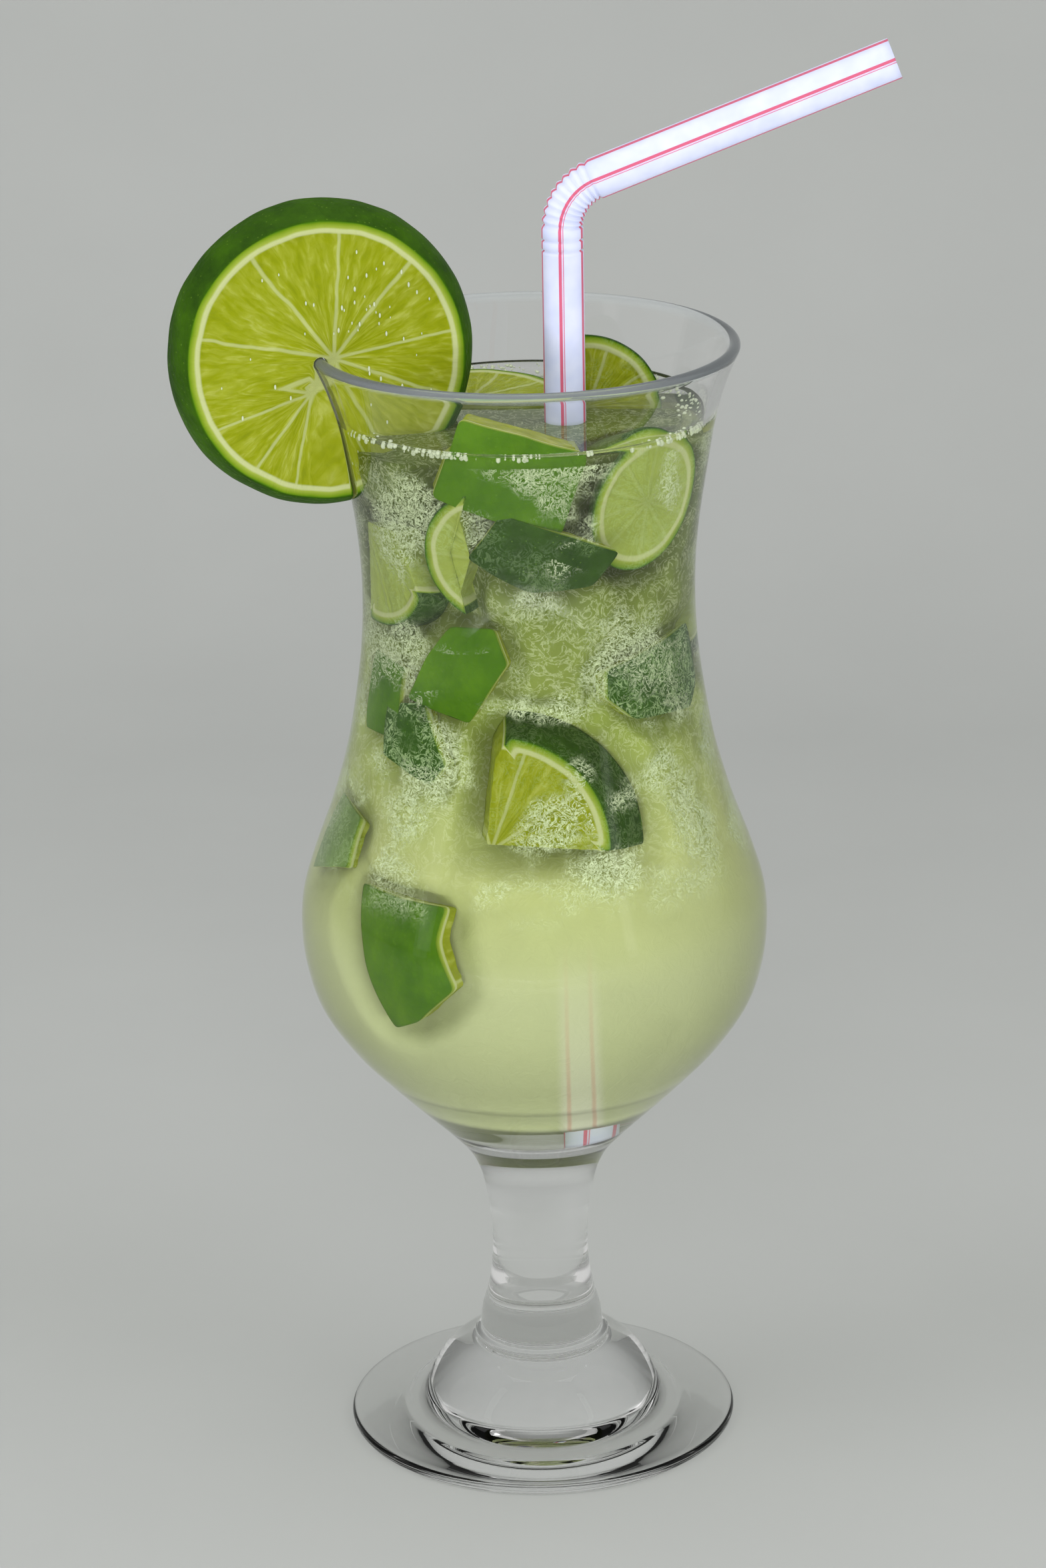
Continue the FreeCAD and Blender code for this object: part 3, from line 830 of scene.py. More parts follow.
def peel_chunk(name, place, corners, deep, material, seed, radius=24.0, seat=None):
    """Chunk of lime with its peel outward, its corners about its middle, X along the core."""
    loop = rounded_loop(corners, 150, 0.5)
    middle = loop.mean(0)
    rings, depths, spokes = [], [], []

    def ring(flat, drop):
        along, across = flat.T
        inside = 1 - (along / (radius * LIME_LONG)) ** 2 - (across / radius) ** 2
        top = radius * (np.sqrt(np.clip(inside, 0.02, 1)) - 1)
        rings.append(np.column_stack([flat, top - drop]))
        depths.append(np.full(len(flat), drop))
        spokes.append(np.column_stack([top - drop + radius, across, along]))

    for s in np.linspace(0.04, 1, 26):
        ring(middle + (loop - middle) * s, 0.0)
    for k in range(1, 25):
        share = k / 24
        ring(middle + (loop - middle) * (1 - (1 - TAPER) * share ** 0.8), deep * share)
    for s in np.linspace(TAPER, 0.04, 22)[1:]:
        ring(middle + (loop - middle) * s, deep)
    return lime_mesh(name, rings, np.concatenate(depths), np.vstack(spokes), place, material,
                     seed, seat)


def arc_outline(radius, start, stop, chord=None):
    """Outline of a slice: its peel from start to stop in degrees, closed through the chord."""
    peel = [(radius * cos(a), radius * sin(a)) for a in np.radians(np.linspace(start, stop, 40))]
    return peel + (chord or [])


def lime_slice(name, place, outline, radius, thick, material, seed, barrel=0.5, softness=0.4,
               back_radius=None, core=None, count=200, seat=None):
    """Slice across a lime with its cut face out, its core at the frame's origin.

    A seated slice has the middle of its outline there instead.
    """
    loop = rounded_loop(outline, count, softness)
    middle = loop.mean(0)
    back = (back_radius or radius) / radius
    centre = middle if seat else np.zeros(2)
    rings, depths, spokes = [], [], []
    short = radius - np.hypot(*loop.T)
    short = np.where(short < 1.4, short, 0)  # where the outline is peel, it is the peel's top

    def ring(flat, z, grown=1.0):
        wide = flat * grown
        reach = np.hypot(*wide.T)
        rings.append(np.column_stack([wide - centre, np.full(len(flat), z)]))
        depths.append(np.maximum((radius - short) * grown - reach, 0))
        about = wide - core(wide) if core else wide
        spokes.append(np.column_stack([about, np.full(len(flat), z)]))

    for s in np.linspace(0.02, 1, 64):
        ring(middle + (loop - middle) * s, 0.0)
    for k in range(1, 15):
        share = k / 14
        ring(loop, -thick * share, 1 + (back - 1) * share + barrel / radius * sin(pi * share))
    for s in np.linspace(1, 0.02, 50)[1:]:
        ring(middle + (loop - middle) * s, -thick, back)
    return lime_mesh(name, rings, np.concatenate(depths), np.vstack(spokes), place, material,
                     seed, seat)


# ---------------------------------------------------------------- scattered small things
def scatter_tree():
    """Geometry Nodes: small round grains strewn over a surface, thicker where it says so."""
    tree = bpy.data.node_groups.new("strewn grains", "GeometryNodeTree")
    face = tree.interface
    face.new_socket("Geometry", in_out="INPUT", socket_type="NodeSocketGeometry")
    for name in ("Density", "Smallest", "Largest", "Flatness"):
        face.new_socket(name, in_out="INPUT", socket_type="NodeSocketFloat")
    face.new_socket("Seed", in_out="INPUT", socket_type="NodeSocketInt")
    face.new_socket("Material", in_out="INPUT", socket_type="NodeSocketMaterial")
    face.new_socket("Geometry", in_out="OUTPUT", socket_type="NodeSocketGeometry")
    given = add(tree, "NodeGroupInput").outputs
    thick = add(tree, "GeometryNodeInputNamedAttribute", {"Name": "cover"}, data_type="FLOAT")
    amount = add(tree, "ShaderNodeMath", {0: given["Density"], 1: thick},
                 operation="MULTIPLY")
    spots = add(tree, "GeometryNodeDistributePointsOnFaces", {
        "Mesh": given["Geometry"], "Density": amount, "Seed": given["Seed"],
    })
    grain = add(tree, "GeometryNodeMeshIcoSphere", {"Radius": 1.0, "Subdivisions": 2})
    size = add(tree, "FunctionNodeRandomValue", {
        2: given["Smallest"], 3: given["Largest"], "Seed": given["Seed"],
    }, data_type="FLOAT")
    long = add(tree, "ShaderNodeMath", {0: size.outputs[1], 1: given["Flatness"]},
               operation="MULTIPLY")
    shape = add(tree, "ShaderNodeCombineXYZ", {0: size.outputs[1], 1: long,
                                               2: size.outputs[1]})
    strewn = add(tree, "GeometryNodeInstanceOnPoints", {
        "Points": spots.outputs["Points"], "Instance": grain,
        "Rotation": spots.outputs["Rotation"], "Scale": shape,
    })
    real = add(tree, "GeometryNodeRealizeInstances", {0: strewn})
    rounded = add(tree, "GeometryNodeSetShadeSmooth", {0: real})
    faced = add(tree, "GeometryNodeSetMaterial", {
        "Geometry": rounded, "Material": given["Material"],
    })
    add(tree, "NodeGroupOutput", {0: faced})
    return tree


def strew(name, host_points, host_faces, cover, material, density, smallest, largest,
          flatness=1.0, seed=1):
    """Plain mesh of grains strewn on a host surface that isn't kept."""
    host = make_piece(name + "_host", host_points, host_faces, material, {"cover": cover})
    tree = scatter_tree()
    modifier = host.modifiers.new("grains", "NODES")
    modifier.node_group = tree
    values = {
        "Density": density / MM ** 2, "Smallest": smallest * MM, "Largest": largest * MM,
        "Flatness": flatness, "Seed": seed, "Material": material,
    }
    for item in tree.interface.items_tree:
        if item.in_out == "INPUT" and item.name in values:
            modifier[item.identifier] = values[item.name]
    view = bpy.context.evaluated_depsgraph_get()
    mesh = bpy.data.meshes.new_from_object(host.evaluated_get(view), depsgraph=view)
    mesh.name = name
    piece = bpy.data.objects.new(name, mesh)
    bpy.context.scene.collection.objects.link(piece)
    host.modifiers.remove(modifier)
    bpy.data.objects.remove(host)
    return piece


# ---------------------------------------------------------------- operators
class MOJITO_OT_glass(bpy.types.Operator):
    """Blow the hurricane glass: foot, stem, bowl and flared rim in one"""

    bl_idname = "mojito.glass"
    bl_label = "Hurricane Glass"

    def execute(self, context):
        shape = GlassShape(context.scene.mojito)
        points, faces = lathe(shape.outline(), 216)
        piece = make_piece("hurricane_glass", points, faces, glass_material())
        settle(piece, "clear_glass", "glass")
        return {"FINISHED"}


WALL_LAP = 0.12  # how far the drink reaches into the wall
MENISCUS = 1.7
HEART_GAP = 2.6  # from the wall to the cloudy heart
HEART_TURNS = 220
STRAW_SHOWS_AT = 7.0  # where the straw shows through the pulp, low in the bowl


class MOJITO_OT_drink(bpy.types.Operator):
    """Pour the drink, with its rise against the wall"""

    bl_idname = "mojito.drink"
    bl_label = "Drink"

    def execute(self, context):
        s = context.scene.mojito
        shape = GlassShape(s)
        level = s.drink_level / MM
        side = shape.inner[shape.inner[:, 1] < level + MENISCUS - 0.4] + (WALL_LAP, 0)
        edge = side[-1][0] - WALL_LAP
        top = [(edge + WALL_LAP, level + MENISCUS)]
        for back in (0.0, 0.25, 0.6, 1.0, 1.5, 2.1, 2.9, 4.0, 6.0, 10.0, 16.0, 24.0):
            top.append((edge - back - 0.02, level + MENISCUS * exp(-back / 1.1)))
        floor = [(0, CAVITY_FLOOR - WALL_LAP), (CAVITY_FLAT / 2, CAVITY_FLOOR - WALL_LAP)]
        side[:, 1] = np.where(side[:, 1] < CAVITY_FLOOR + 0.3, side[:, 1] - WALL_LAP, side[:, 1])
        outline = np.vstack([floor, side, top, [(0, level)]])
        points, faces = lathe(outline, 192)
        settle(make_piece("drink_body", points, faces, drink_material(s)), "drink", "drink")
        return {"FINISHED"}


STRAW_WALL = 0.3
STRAW_SIDES = 96
STRIPES = 5
STRIPE_TURN = -5.0  # bearing of one stripe from the front
BEND_START = 222.8
BEND_RADIUS = 9.0
BEND_TURN = 68.8
ARM = 54.3
BELLOWS = 9


class MOJITO_OT_straw(bpy.types.Operator):
    """Draw the bendy straw with its stripes and bellows"""

    bl_idname = "mojito.straw"
    bl_label = "Straw"

    def execute(self, context):
        s = context.scene.mojito
        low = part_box("straw")[0]
        radius = s.straw_radius / MM
        stations = self.stations(low.x / MM + radius, low.z / MM)
        points, around = [], []
        outer = [(p, lean, radius - dip) for p, lean, dip in stations]
        inner = [(p, lean, radius - dip - STRAW_WALL) for p, lean, dip in reversed(stations)]
        for (x, z), lean, r in outer + inner:
            for k in range(STRAW_SIDES):
                a = TAU * k / STRAW_SIDES
                side, front = r * sin(a), -r * cos(a)
                points.append((x + side * cos(lean), front, z - side * sin(lean)))
                # the count of stripes falls back to 0 in a narrow strip beside the front one
                around.append((a - radians(STRIPE_TURN)) * STRIPES / TAU)
        rows = len(outer) + len(inner)
        faces = ring_faces(rows, STRAW_SIDES, False)
        last = (rows - 1) * STRAW_SIDES
        for k in range(STRAW_SIDES):
            n = (k + 1) % STRAW_SIDES
            faces.append((last + k, last + n, n, k))
        piece = make_piece("bendy_straw", points, faces, straw_material(s), {"around": around})
        settle(piece, "straw_plastic", "straw")
        return {"FINISHED"}

    def stations(self, x0, z0):
        """Middle line points with the lean and how far the wall dips in there."""
        lean = radians(BEND_TURN)
        out = [((x0, z), 0.0, 0.0) for z in np.linspace(z0, BEND_START - 4.4, 60)]
        # two closed pleats under the bend, then the open ones round it
        for z, dip in ((-4.0, 0.0), (-3.7, 0.38), (-3.4, 0.0), (-2.2, 0.0), (-1.9, 0.38),
                       (-1.6, 0.0), (-0.6, 0.0)):
            out.append(((x0, BEND_START + z), 0.0, dip))
        steps = BELLOWS * 6
        for k in range(steps + 1):
            a = lean * k / steps
            phase = (k % 6) / 6
            dip = 0.45 * (1 - abs(2 * phase - 1)) ** 1.4
            x = x0 + BEND_RADIUS * (1 - cos(a))
            z = BEND_START + BEND_RADIUS * sin(a)
            out.append(((x, z), a, dip))
        (end_x, end_z), _, _ = out[-1]
        for along in np.concatenate([[0.6, 1.2], np.linspace(2.0, ARM, 26)]):
            out.append(((end_x + along * sin(lean), end_z + along * cos(lean)), lean, 0.0))
        return out


WHEEL_BEARING = 11.0
WHEEL_THICK = 7.2
WHEEL_BACK_RADIUS = 26.9
WHEEL_CENTRE = (-34.26, -6.66, 202.8)
SLIT_PLAY = 0.22
SLIT_LOW = 170.0  # below the wheel's lowest point
UPPER_CORE = (1.3, 0.3)
LOWER_CORE = (-2.8, -5.6)
WEB_ANGLES = (-20, 12, 52, 88, 129, 170, 199, 233, 260, 300)  # where the membranes end


class MOJITO_OT_wheel(bpy.types.Operator):
    """Cut the lime wheel and hang it on the rim by its slit"""

    bl_idname = "mojito.wheel"
    bl_label = "Lime Wheel"

    def execute(self, context):
        s = context.scene.mojito
        radius = s.wheel_radius / MM
        place = stance(WHEEL_CENTRE, WHEEL_BEARING) @ Matrix.Translation((0, 0, WHEEL_THICK / 2))
        angles = np.radians(np.arange(0, 360, 3))
        outline = []
        for a in angles:
            uneven = wobble((cos(a) * 10, sin(a) * 10, 0), 6.0, 2) * 0.5
            fine = wobble((cos(a) * 10, sin(a) * 10, 4), 1.6, 7) * 0.12
            r = radius - 0.35 + uneven * 0.7 + fine
            outline.append((r * cos(a), r * sin(a) * 1.01))
        piece = lime_slice(
            "lime_wheel_cut", place, outline, radius, WHEEL_THICK, lime_kinds(s)["fresh"], 4.0,
            barrel=0.6, softness=0.5, back_radius=WHEEL_BACK_RADIUS, core=self.core, count=300,
        )
        self.even_spokes(piece)
        self.slit(piece, GlassShape(s))
        settle(piece, "lime", "lime_wheel")
        settle(self.droplets(place, radius), "lime")
        return {"FINISHED"}

    def core(self, flat):
        """The wheel is torn at its slit, so that its lower segments meet lower down."""
        share = np.clip((-flat[:, 1] - 0.5) / 4.0, 0, 1) * np.clip((3.0 - flat[:, 0]) / 6.0, 0, 1)
        share = share[:, None]
        return np.array(UPPER_CORE) * (1 - share) + np.array(LOWER_CORE) * share

    def even_spokes(self, piece):
        """Turn the spokes so that the uneven membranes fall on even shares of a turn."""
        layer = piece.data.attributes["spoke"]
        spoke = np.empty(len(layer.data) * 3, np.float32)
        layer.data.foreach_get("vector", spoke)
        spoke = spoke.reshape(-1, 3)
        reach = np.hypot(spoke[:, 0], spoke[:, 1])
        angle = np.degrees(np.arctan2(spoke[:, 1], spoke[:, 0]))
        angle = np.where(angle < WEB_ANGLES[0], angle + 360, angle)
        marks = list(WEB_ANGLES) + [WEB_ANGLES[0] + 360]
        even = np.interp(angle, marks, np.arange(len(marks)) * 360 / SEGMENTS)
        spoke[:, 0] = reach * np.cos(np.radians(even))
        spoke[:, 1] = reach * np.sin(np.radians(even))
        layer.data.foreach_set("vector", spoke.ravel())

    def slit(self, piece, shape):
        """Take the glass wall's own section out of the wheel, with a little play."""
        walls = [
            line[(line[:, 1] > SLIT_LOW) & (line[:, 1] < RIM_TOP - 1.5)]
            for line in (shape.outer, shape.inner)
        ]
        outer, inner = walls[0] + (SLIT_PLAY, 0), walls[1] - (SLIT_PLAY, 0)
        rim = shape.rim.mean(0) + (shape.rim - shape.rim.mean(0)) * 1.25 + (0, SLIT_PLAY / 2)
        section = np.vstack([outer, rim, inner[::-1]])
        turns = np.radians(np.linspace(-135, -35, 60))
        rings = [
            np.column_stack([section[:, 0] * sin(a), -section[:, 0] * cos(a), section[:, 1]])
            for a in turns
        ]
        points, faces = capped_rings(rings)
        cutter = make_piece("slit_cutter", points, faces, piece.data.materials[0],
                            {"depth": np.full(len(points), 6.0)},
                            {"spoke": np.tile((6.0, 2.0, 0.0), (len(points), 1))})
        cut = piece.modifiers.new("slit", "BOOLEAN")
        cut.operation = "DIFFERENCE"
        cut.solver = "EXACT"
        cut.object = cutter
        view = bpy.context.evaluated_depsgraph_get()
        mesh = bpy.data.meshes.new_from_object(piece.evaluated_get(view), depsgraph=view)
        piece.modifiers.remove(cut)
        piece.data = mesh
        bpy.data.objects.remove(cutter)

    def droplets(self, place, radius):
        """Beads of juice on the wheel's face, most at its upper right; their near-white colour is
        partly a painted glint.
        """
        rings = [
            np.array([(r * cos(a), r * sin(a), 0.12) for a in np.radians(np.arange(0, 360, 6))])
            for r in np.linspace(1, radius - 4, 16)
        ]
        points = np.vstack(rings)
        # painted glints: the near-white beads are strewn thickest at the upper right of the face
        cover = np.exp(-((points[:, 0] - 9) ** 2 + (points[:, 1] - 9) ** 2) / 70) + 0.12
        host = moved(points, place)
        return strew("juice_beads", host, ring_faces(len(rings), 60, False), cover,
                     bubble_and_glint_material(), 0.16, 0.08, 0.2, 2.4, 3)


END_WIDE = 9.4  # half widths of the end piece's cut face, and how deep it is
END_TALL = 12.6
END_DEEP = 8.6
STANDING_RADIUS = 13.7
FLAT_RADIUS = 16.2


class MOJITO_OT_surface_limes(bpy.types.Operator):
    """Float the four pieces of lime that stand at the top of the drink"""

    bl_idname = "mojito.surface_limes"
    bl_label = "Floating Lime"

    def execute(self, context):
        s = context.scene.mojito
        kinds = lime_kinds(s)
        self.chunk_front(kinds["bright"])
        self.end_right(kinds["soaked"], GlassShape(s))
        self.slice_back(kinds["dark"])
        self.slice_afloat(kinds["dark"])
        return {"FINISHED"}

    def chunk_front(self, material):
        low, high = (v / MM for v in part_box("lime_chunk_front"))
        origin = ((low.x + high.x) / 2, low.y + 0.1, (low.z + high.z) / 2)
        corners = [(-11, -7.4), (0, -7.9), (11, -7.2), (10.8, 7.2), (0, 7.6), (-10.8, 7.0)]
        piece = peel_chunk("lime_chunk_peel", stance(origin, roll=-18.0), corners, 10.0,
                           material, 11.0, radius=25.0)
        settle(piece, "lime", "lime_chunk_front")

    def end_right(self, material, shape):
        """End of a lime, its cut face to the front, its peel against the glass."""
        low, high = (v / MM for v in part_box("lime_end_right"))
        place = stance((low + high) / 2 - Vector((0, 0, 4.0)), bearing=32.0, roll=-25.0)
        a = np.radians(np.arange(0, 360, 4))
        outline = list(zip(END_WIDE * np.cos(a), END_TALL * np.sin(a)))
        loop = rounded_loop(outline, 180, 0.4)
        rings, depths, spokes = [], [], []
        for share in np.linspace(0.03, 1, 40):
            flat = loop * share
            rings.append(np.column_stack([flat, np.zeros(len(flat))]))
            depths.append(np.full(len(flat), (1 - share) * 10.5))
            spokes.append(np.column_stack([flat, np.zeros(len(flat))]))
        for a in np.linspace(0, pi / 2, 26)[1:-1]:
            flat = loop * cos(a)
            rings.append(np.column_stack([flat, np.full(len(flat), -END_DEEP * sin(a))]))
            depths.append(np.zeros(len(flat)))
            spokes.append(np.column_stack([loop, np.zeros(len(flat))]))
        piece = lime_mesh("lime_end_peel", rings, np.concatenate(depths), np.vstack(spokes),
                          place, material, 21.0, (shape, 40.0, 0.6))
        settle(piece, "lime", "lime_end_right")

    def slice_back(self, material):
        place = stance((10.5, 10.8, 187.2), pitch=-16.0)
        outline = arc_outline(STANDING_RADIUS, -95, 95)
        piece = lime_slice("lime_slice_standing", place, outline, STANDING_RADIUS, 6.2,
                           material, 31.0, barrel=0.3)
        settle(piece, "lime", "lime_slice_back")

    def slice_afloat(self, material):
        place = stance((-9.5, 9.5, 191.0), pitch=-87.0)
        outline = arc_outline(FLAT_RADIUS, 0, 180)
        piece = lime_slice("lime_slice_flat", place, outline, FLAT_RADIUS, 5.3, material, 41.0,
                           barrel=0.3)
        settle(piece, "lime", "lime_slice_afloat")


# sunk chunks with the peel against the wall: bearing, height, distance in from the wall,
# (yaw, pitch, roll), outline about the middle, depth, finish
SUNK_CHUNKS = {
    "sunk_peel_front": (5.0, 173.0, 0.9, (0, 0, 0), 4.5, "dark", [
        (-12.2, -0.9), (-6.5, 7.4), (5.1, 3.0), (13.0, -1.1), (8.4, -7.0), (-2.1, -7.4),
        (-8.2, -3.8)]),
    "sunk_peel_diamond": (-28.0, 151.0, 0.9, (0, 0, 0), 4.0, "bright", [
        (-1.5, 8.2), (6.0, 8.7), (9.0, 2.5), (2.1, -9.0), (-9.8, -6.1), (-5.2, 3.1)]),
    "sunk_peel_left_high": (-64.0, 143.0, 1.3, (0, 0, 0), 3.5, "bright", [
        (-5.5, -7.0), (5.5, -6.0), (4.5, 7.0), (-4.5, 8.0)]),
    "sunk_peel_left_low": (-46.0, 138.0, 1.0, (0, 0, 0), 4.0, "frosted", [
        (-6.5, 5.0), (1.7, 7.0), (7.7, -3.3), (4.5, -7.3), (-6.6, -4.4)]),
    "sunk_peel_right": (54.0, 147.0, 1.2, (0, 0, 0), 4.5, "frosted", [
        (-10.9, 4.3), (10.2, 7.5), (12.0, -3.7), (9.0, -8.0), (-6.3, -5.8), (-11.7, -0.7)]),
    "sunk_peel_far_left": (-79.0, 113.0, 1.4, (0, 0, 0), 3.5, "veiled", [
        (-6.0, -6.0), (9.0, 0.0), (6.0, 9.0), (-4.0, 10.0)]),
    "sunk_peel_bowl": (-40.0, 100.0, 0.8, (-12, 0, 0), 4.5, "bright", [
        (-13.0, 9.7), (8.1, 11.6), (8.3, 5.6), (12.5, -1.8), (4.3, -9.3), (-2.5, -12.1),
        (-8.0, -2.0)]),
    "sunk_peel_rear_high": (150.0, 168.0, 1.0, (0, 0, 12), 4.0, "bright", [
        (-9, -6), (8, -7), (10, 5), (-7, 7)]),
    "sunk_peel_rear_mid": (-140.0, 146.0, 1.4, (0, 0, -25), 4.0, "frosted", [
        (-8, -6), (9, -5), (7, 7), (-9, 5)]),
    "sunk_peel_rear_low": (165.0, 118.0, 1.2, (0, 0, 35), 4.0, "dark", [
        (-9, -5), (7, -7), (9, 6), (-6, 7)]),
}

# sunk slices with the cut face out: bearing and height of the middle, distance in from the
# wall, (yaw, pitch, roll), (face radius, back radius), thickness, (start, stop) of the peel,
# chord points about the core, finish
SUNK_SLICES = {
    "sunk_wedge": (4.0, 128.7, 0.7, (-3, 2, 0), (20.0, 25.0), 8.0, (-2, 80), [(1, 16), (-1, 1)],
                   "dark"),
    "sunk_slice_left": (-28.0, 173.0, 0.8, (0, 0, 0), (12.0, 12.6), 6.0, (105, 245),
                        [(-6, -7), (-3.5, 0), (-5, 8)], "soaked"),
    "sunk_slice_far_left": (-63.0, 165.0, 0.8, (0, 0, 0), (17.0, 17.8), 6.0, (-97, -33),
                            [(8, 2), (0, 2)], "soaked"),
    "sunk_slice_rear": (120.0, 152.0, 0.8, (0, 0, 30), (18.0, 19.0), 6.0, (200, 300),
                        [(2, -3), (-5, -3)], "soaked"),
}


class MOJITO_OT_sunk_limes(bpy.types.Operator):
    """Sink the other pieces of lime in the drink"""

    bl_idname = "mojito.sunk_limes"
    bl_label = "Sunk Lime"

    def execute(self, context):
        s = context.scene.mojito
        shape = GlassShape(s)
        kinds = lime_kinds(s)
        for seed, (name, row) in enumerate(SUNK_CHUNKS.items()):
            bearing, height, back, turns, deep, kind, corners = row
            place = self.place(shape, bearing, height, back, turns)
            piece = peel_chunk(name, place, corners, deep, kinds[kind], 50.0 + seed,
                               seat=(shape, bearing, back))
            settle(piece, "lime")
        for seed, (name, row) in enumerate(SUNK_SLICES.items()):
            bearing, height, back, turns, radii, thick, (start, stop), chord, kind = row
            place = self.place(shape, bearing, height, back, turns)
            piece = lime_slice(name, place, arc_outline(radii[0], start, stop, chord), radii[0],
                               thick, kinds[kind], 80.0 + seed, barrel=0.3,
                               back_radius=radii[1], seat=(shape, bearing, back))
            settle(piece, "lime")
        return {"FINISHED"}

    def place(self, shape, bearing, height, back, turns):
        r = shape.inside_radius(height) - back
        a = radians(bearing)
        slope = (shape.inside_radius(height + 3) - shape.inside_radius(height - 3)) / 6
        yaw, pitch, roll = turns
        return stance((r * sin(a), -r * cos(a), height), bearing, yaw,
                      pitch + np.degrees(np.arctan(slope)), roll)


HEART_BASE = CAVITY_FLOOR + 7.0
SMOOTH_BELOW = 104.0  # lower than this the pulp is smooth and has no froth by the wall


class MOJITO_OT_heart(bpy.types.Operator):
    """Pack the cloudy heart of crushed ice behind the lime"""

    bl_idname = "mojito.heart"
    bl_label = "Crushed Ice"

    def execute(self, context):
        s = context.scene.mojito
        shape = GlassShape(s)
        top = s.drink_level / MM - 2.6
        heights = np.concatenate([np.arange(HEART_BASE + 0.6, 72, 0.8), np.arange(72, top, 1.1)])
        angles = np.arange(HEART_TURNS) * TAU / HEART_TURNS
        wall = np.array([shape.inside_radius(z) for z in heights])
        reach = np.repeat(wall[:, None] - HEART_GAP, HEART_TURNS, axis=1)
        reach = self.pockets(reach, heights, angles)
        rings = [
            np.column_stack([r * np.cos(angles), r * np.sin(angles), np.full(HEART_TURNS, z)])
            for r, z in zip(reach, heights)
        ]
        foot, last = rings[0], rings[-1]
        under = [foot * (share, share, 1) - (0, 0, 0.6) for share in (0.1, 0.35, 0.65, 0.9)]
        over = [
            last * (share, share, 1) + (0, 0, 1.4 * (1 - share ** 2))
            for share in (0.97, 0.85, 0.65, 0.42, 0.2, 0.06)
        ]
        points, faces = capped_rings(under + rings + over)
        calm = np.clip((points[:, 2] - SMOOTH_BELOW) / 22, 0, 1)
        lumps = np.array([
            0.7 * wobble(p, 9.0, 5) + 0.3 * abs(wobble(p, 4.2, 9)) for p in points
        ])
        out = points * (1, 1, 0) / (np.hypot(points[:, 0], points[:, 1])[:, None] + 1e-6)
        points = points + out * np.clip(calm * lumps * 2.0, -2.2, 0.4)[:, None]
        settle(make_piece("ice_heart", points, faces, ice_heart_material(s)), "drink")
        return {"FINISHED"}

    def pockets(self, reach, heights, angles):
        """Radii drawn in behind each piece of lime, with soft edges."""
        names = ("lime_chunk_peel", "lime_end_peel", "lime_slice_standing", *SUNK_CHUNKS,
                 *SUNK_SLICES)
        for name in names:
            mesh = bpy.data.objects[name].data
            tree = BVHTree.FromPolygons([v.co[:] for v in mesh.vertices],
                                        [face.vertices[:] for face in mesh.polygons])
            for row, z in enumerate(heights):
                for column, angle in enumerate(angles):
                    hit = tree.ray_cast((0, 0, z * MM), (cos(angle), sin(angle), 0))[3]
                    if hit:
                        reach[row, column] = min(reach[row, column], hit / MM - 0.4)
        reach = np.maximum(reach, 4.0)
        for spread in ((2, 1), (1, 1)):
            reach = neighbours(reach, spread, np.min)
        for _ in range(3):
            reach = neighbours(reach, (1, 1), np.mean)
        return reach


VEIL_DEPTHS = (1.5, 2.2, 3.0)  # in from the wall
VEIL_TURNS = 128
EDGE_TURNS = 240


class MOJITO_OT_froth(bpy.types.Operator):
    """Whip up the froth: threads of pulp by the wall and bubbles round the edge"""

    bl_idname = "mojito.froth"
    bl_label = "Froth and Bubbles"

    def execute(self, context):
        s = context.scene.mojito
        shape = GlassShape(s)
        level = s.drink_level / MM
        veil = froth_material()
        for number, back in enumerate(VEIL_DEPTHS):
            self.veil(shape, level, back, f"froth_veil_{number + 1}", veil)
        self.edge_bubbles(shape, level)
        return {"FINISHED"}

    def hoop(self, r, z, turns):
        """Points round a circle at a height."""
        return np.array([(r * cos(a), r * sin(a), z) for a in np.arange(turns) * TAU / turns])

    def veil(self, shape, level, back, name, material):
        rings = [
            self.hoop(shape.inside_radius(z) - back, z, VEIL_TURNS)
            for z in np.arange(SMOOTH_BELOW, level - 0.8, 1.6)
        ]
        piece = make_piece(name, np.vstack(rings), ring_faces(len(rings), VEIL_TURNS, False),
                           material)
        settle(piece, "drink")

    def edge_bubbles(self, shape, level):
        edge = shape.inside_radius(level)
        rings = [
            self.hoop(edge - back, level + lift, EDGE_TURNS)
            for back, lift in ((0.05, 1.2), (0.5, 0.7), (1.2, 0.25), (2.6, 0.05), (4.5, 0.0))
        ]
        points = np.vstack(rings)
        clump = np.array([max(0.0, wobble(p, 7.0, 12) + 0.15) for p in points])
        reach = np.hypot(points[:, 0], points[:, 1])
        near = np.clip(1 - (edge - reach) / 5, 0.05, 1)
        piece = strew("edge_bubbles", points, ring_faces(len(rings), EDGE_TURNS, False),
                      clump * near, bubble_and_glint_material(), 3.2, 0.12, 0.42, 1.0, 5)
        settle(piece, "drink")


FLOOR_NEAR = -1800
FLOOR_FAR = 380
SWEEP_RADIUS = 420
SWEEP_TOP = 2200
SWEEP_HALF = 2400  # half its width
CAMERA_FAR = 794.5
CAMERA_HIGH = 401.5
CAMERA_LENS = 109.07
CAMERA_PITCH = 19.347  # degrees down
CAMERA_YAW = -0.1175
CAMERA_ROLL = -1.0544


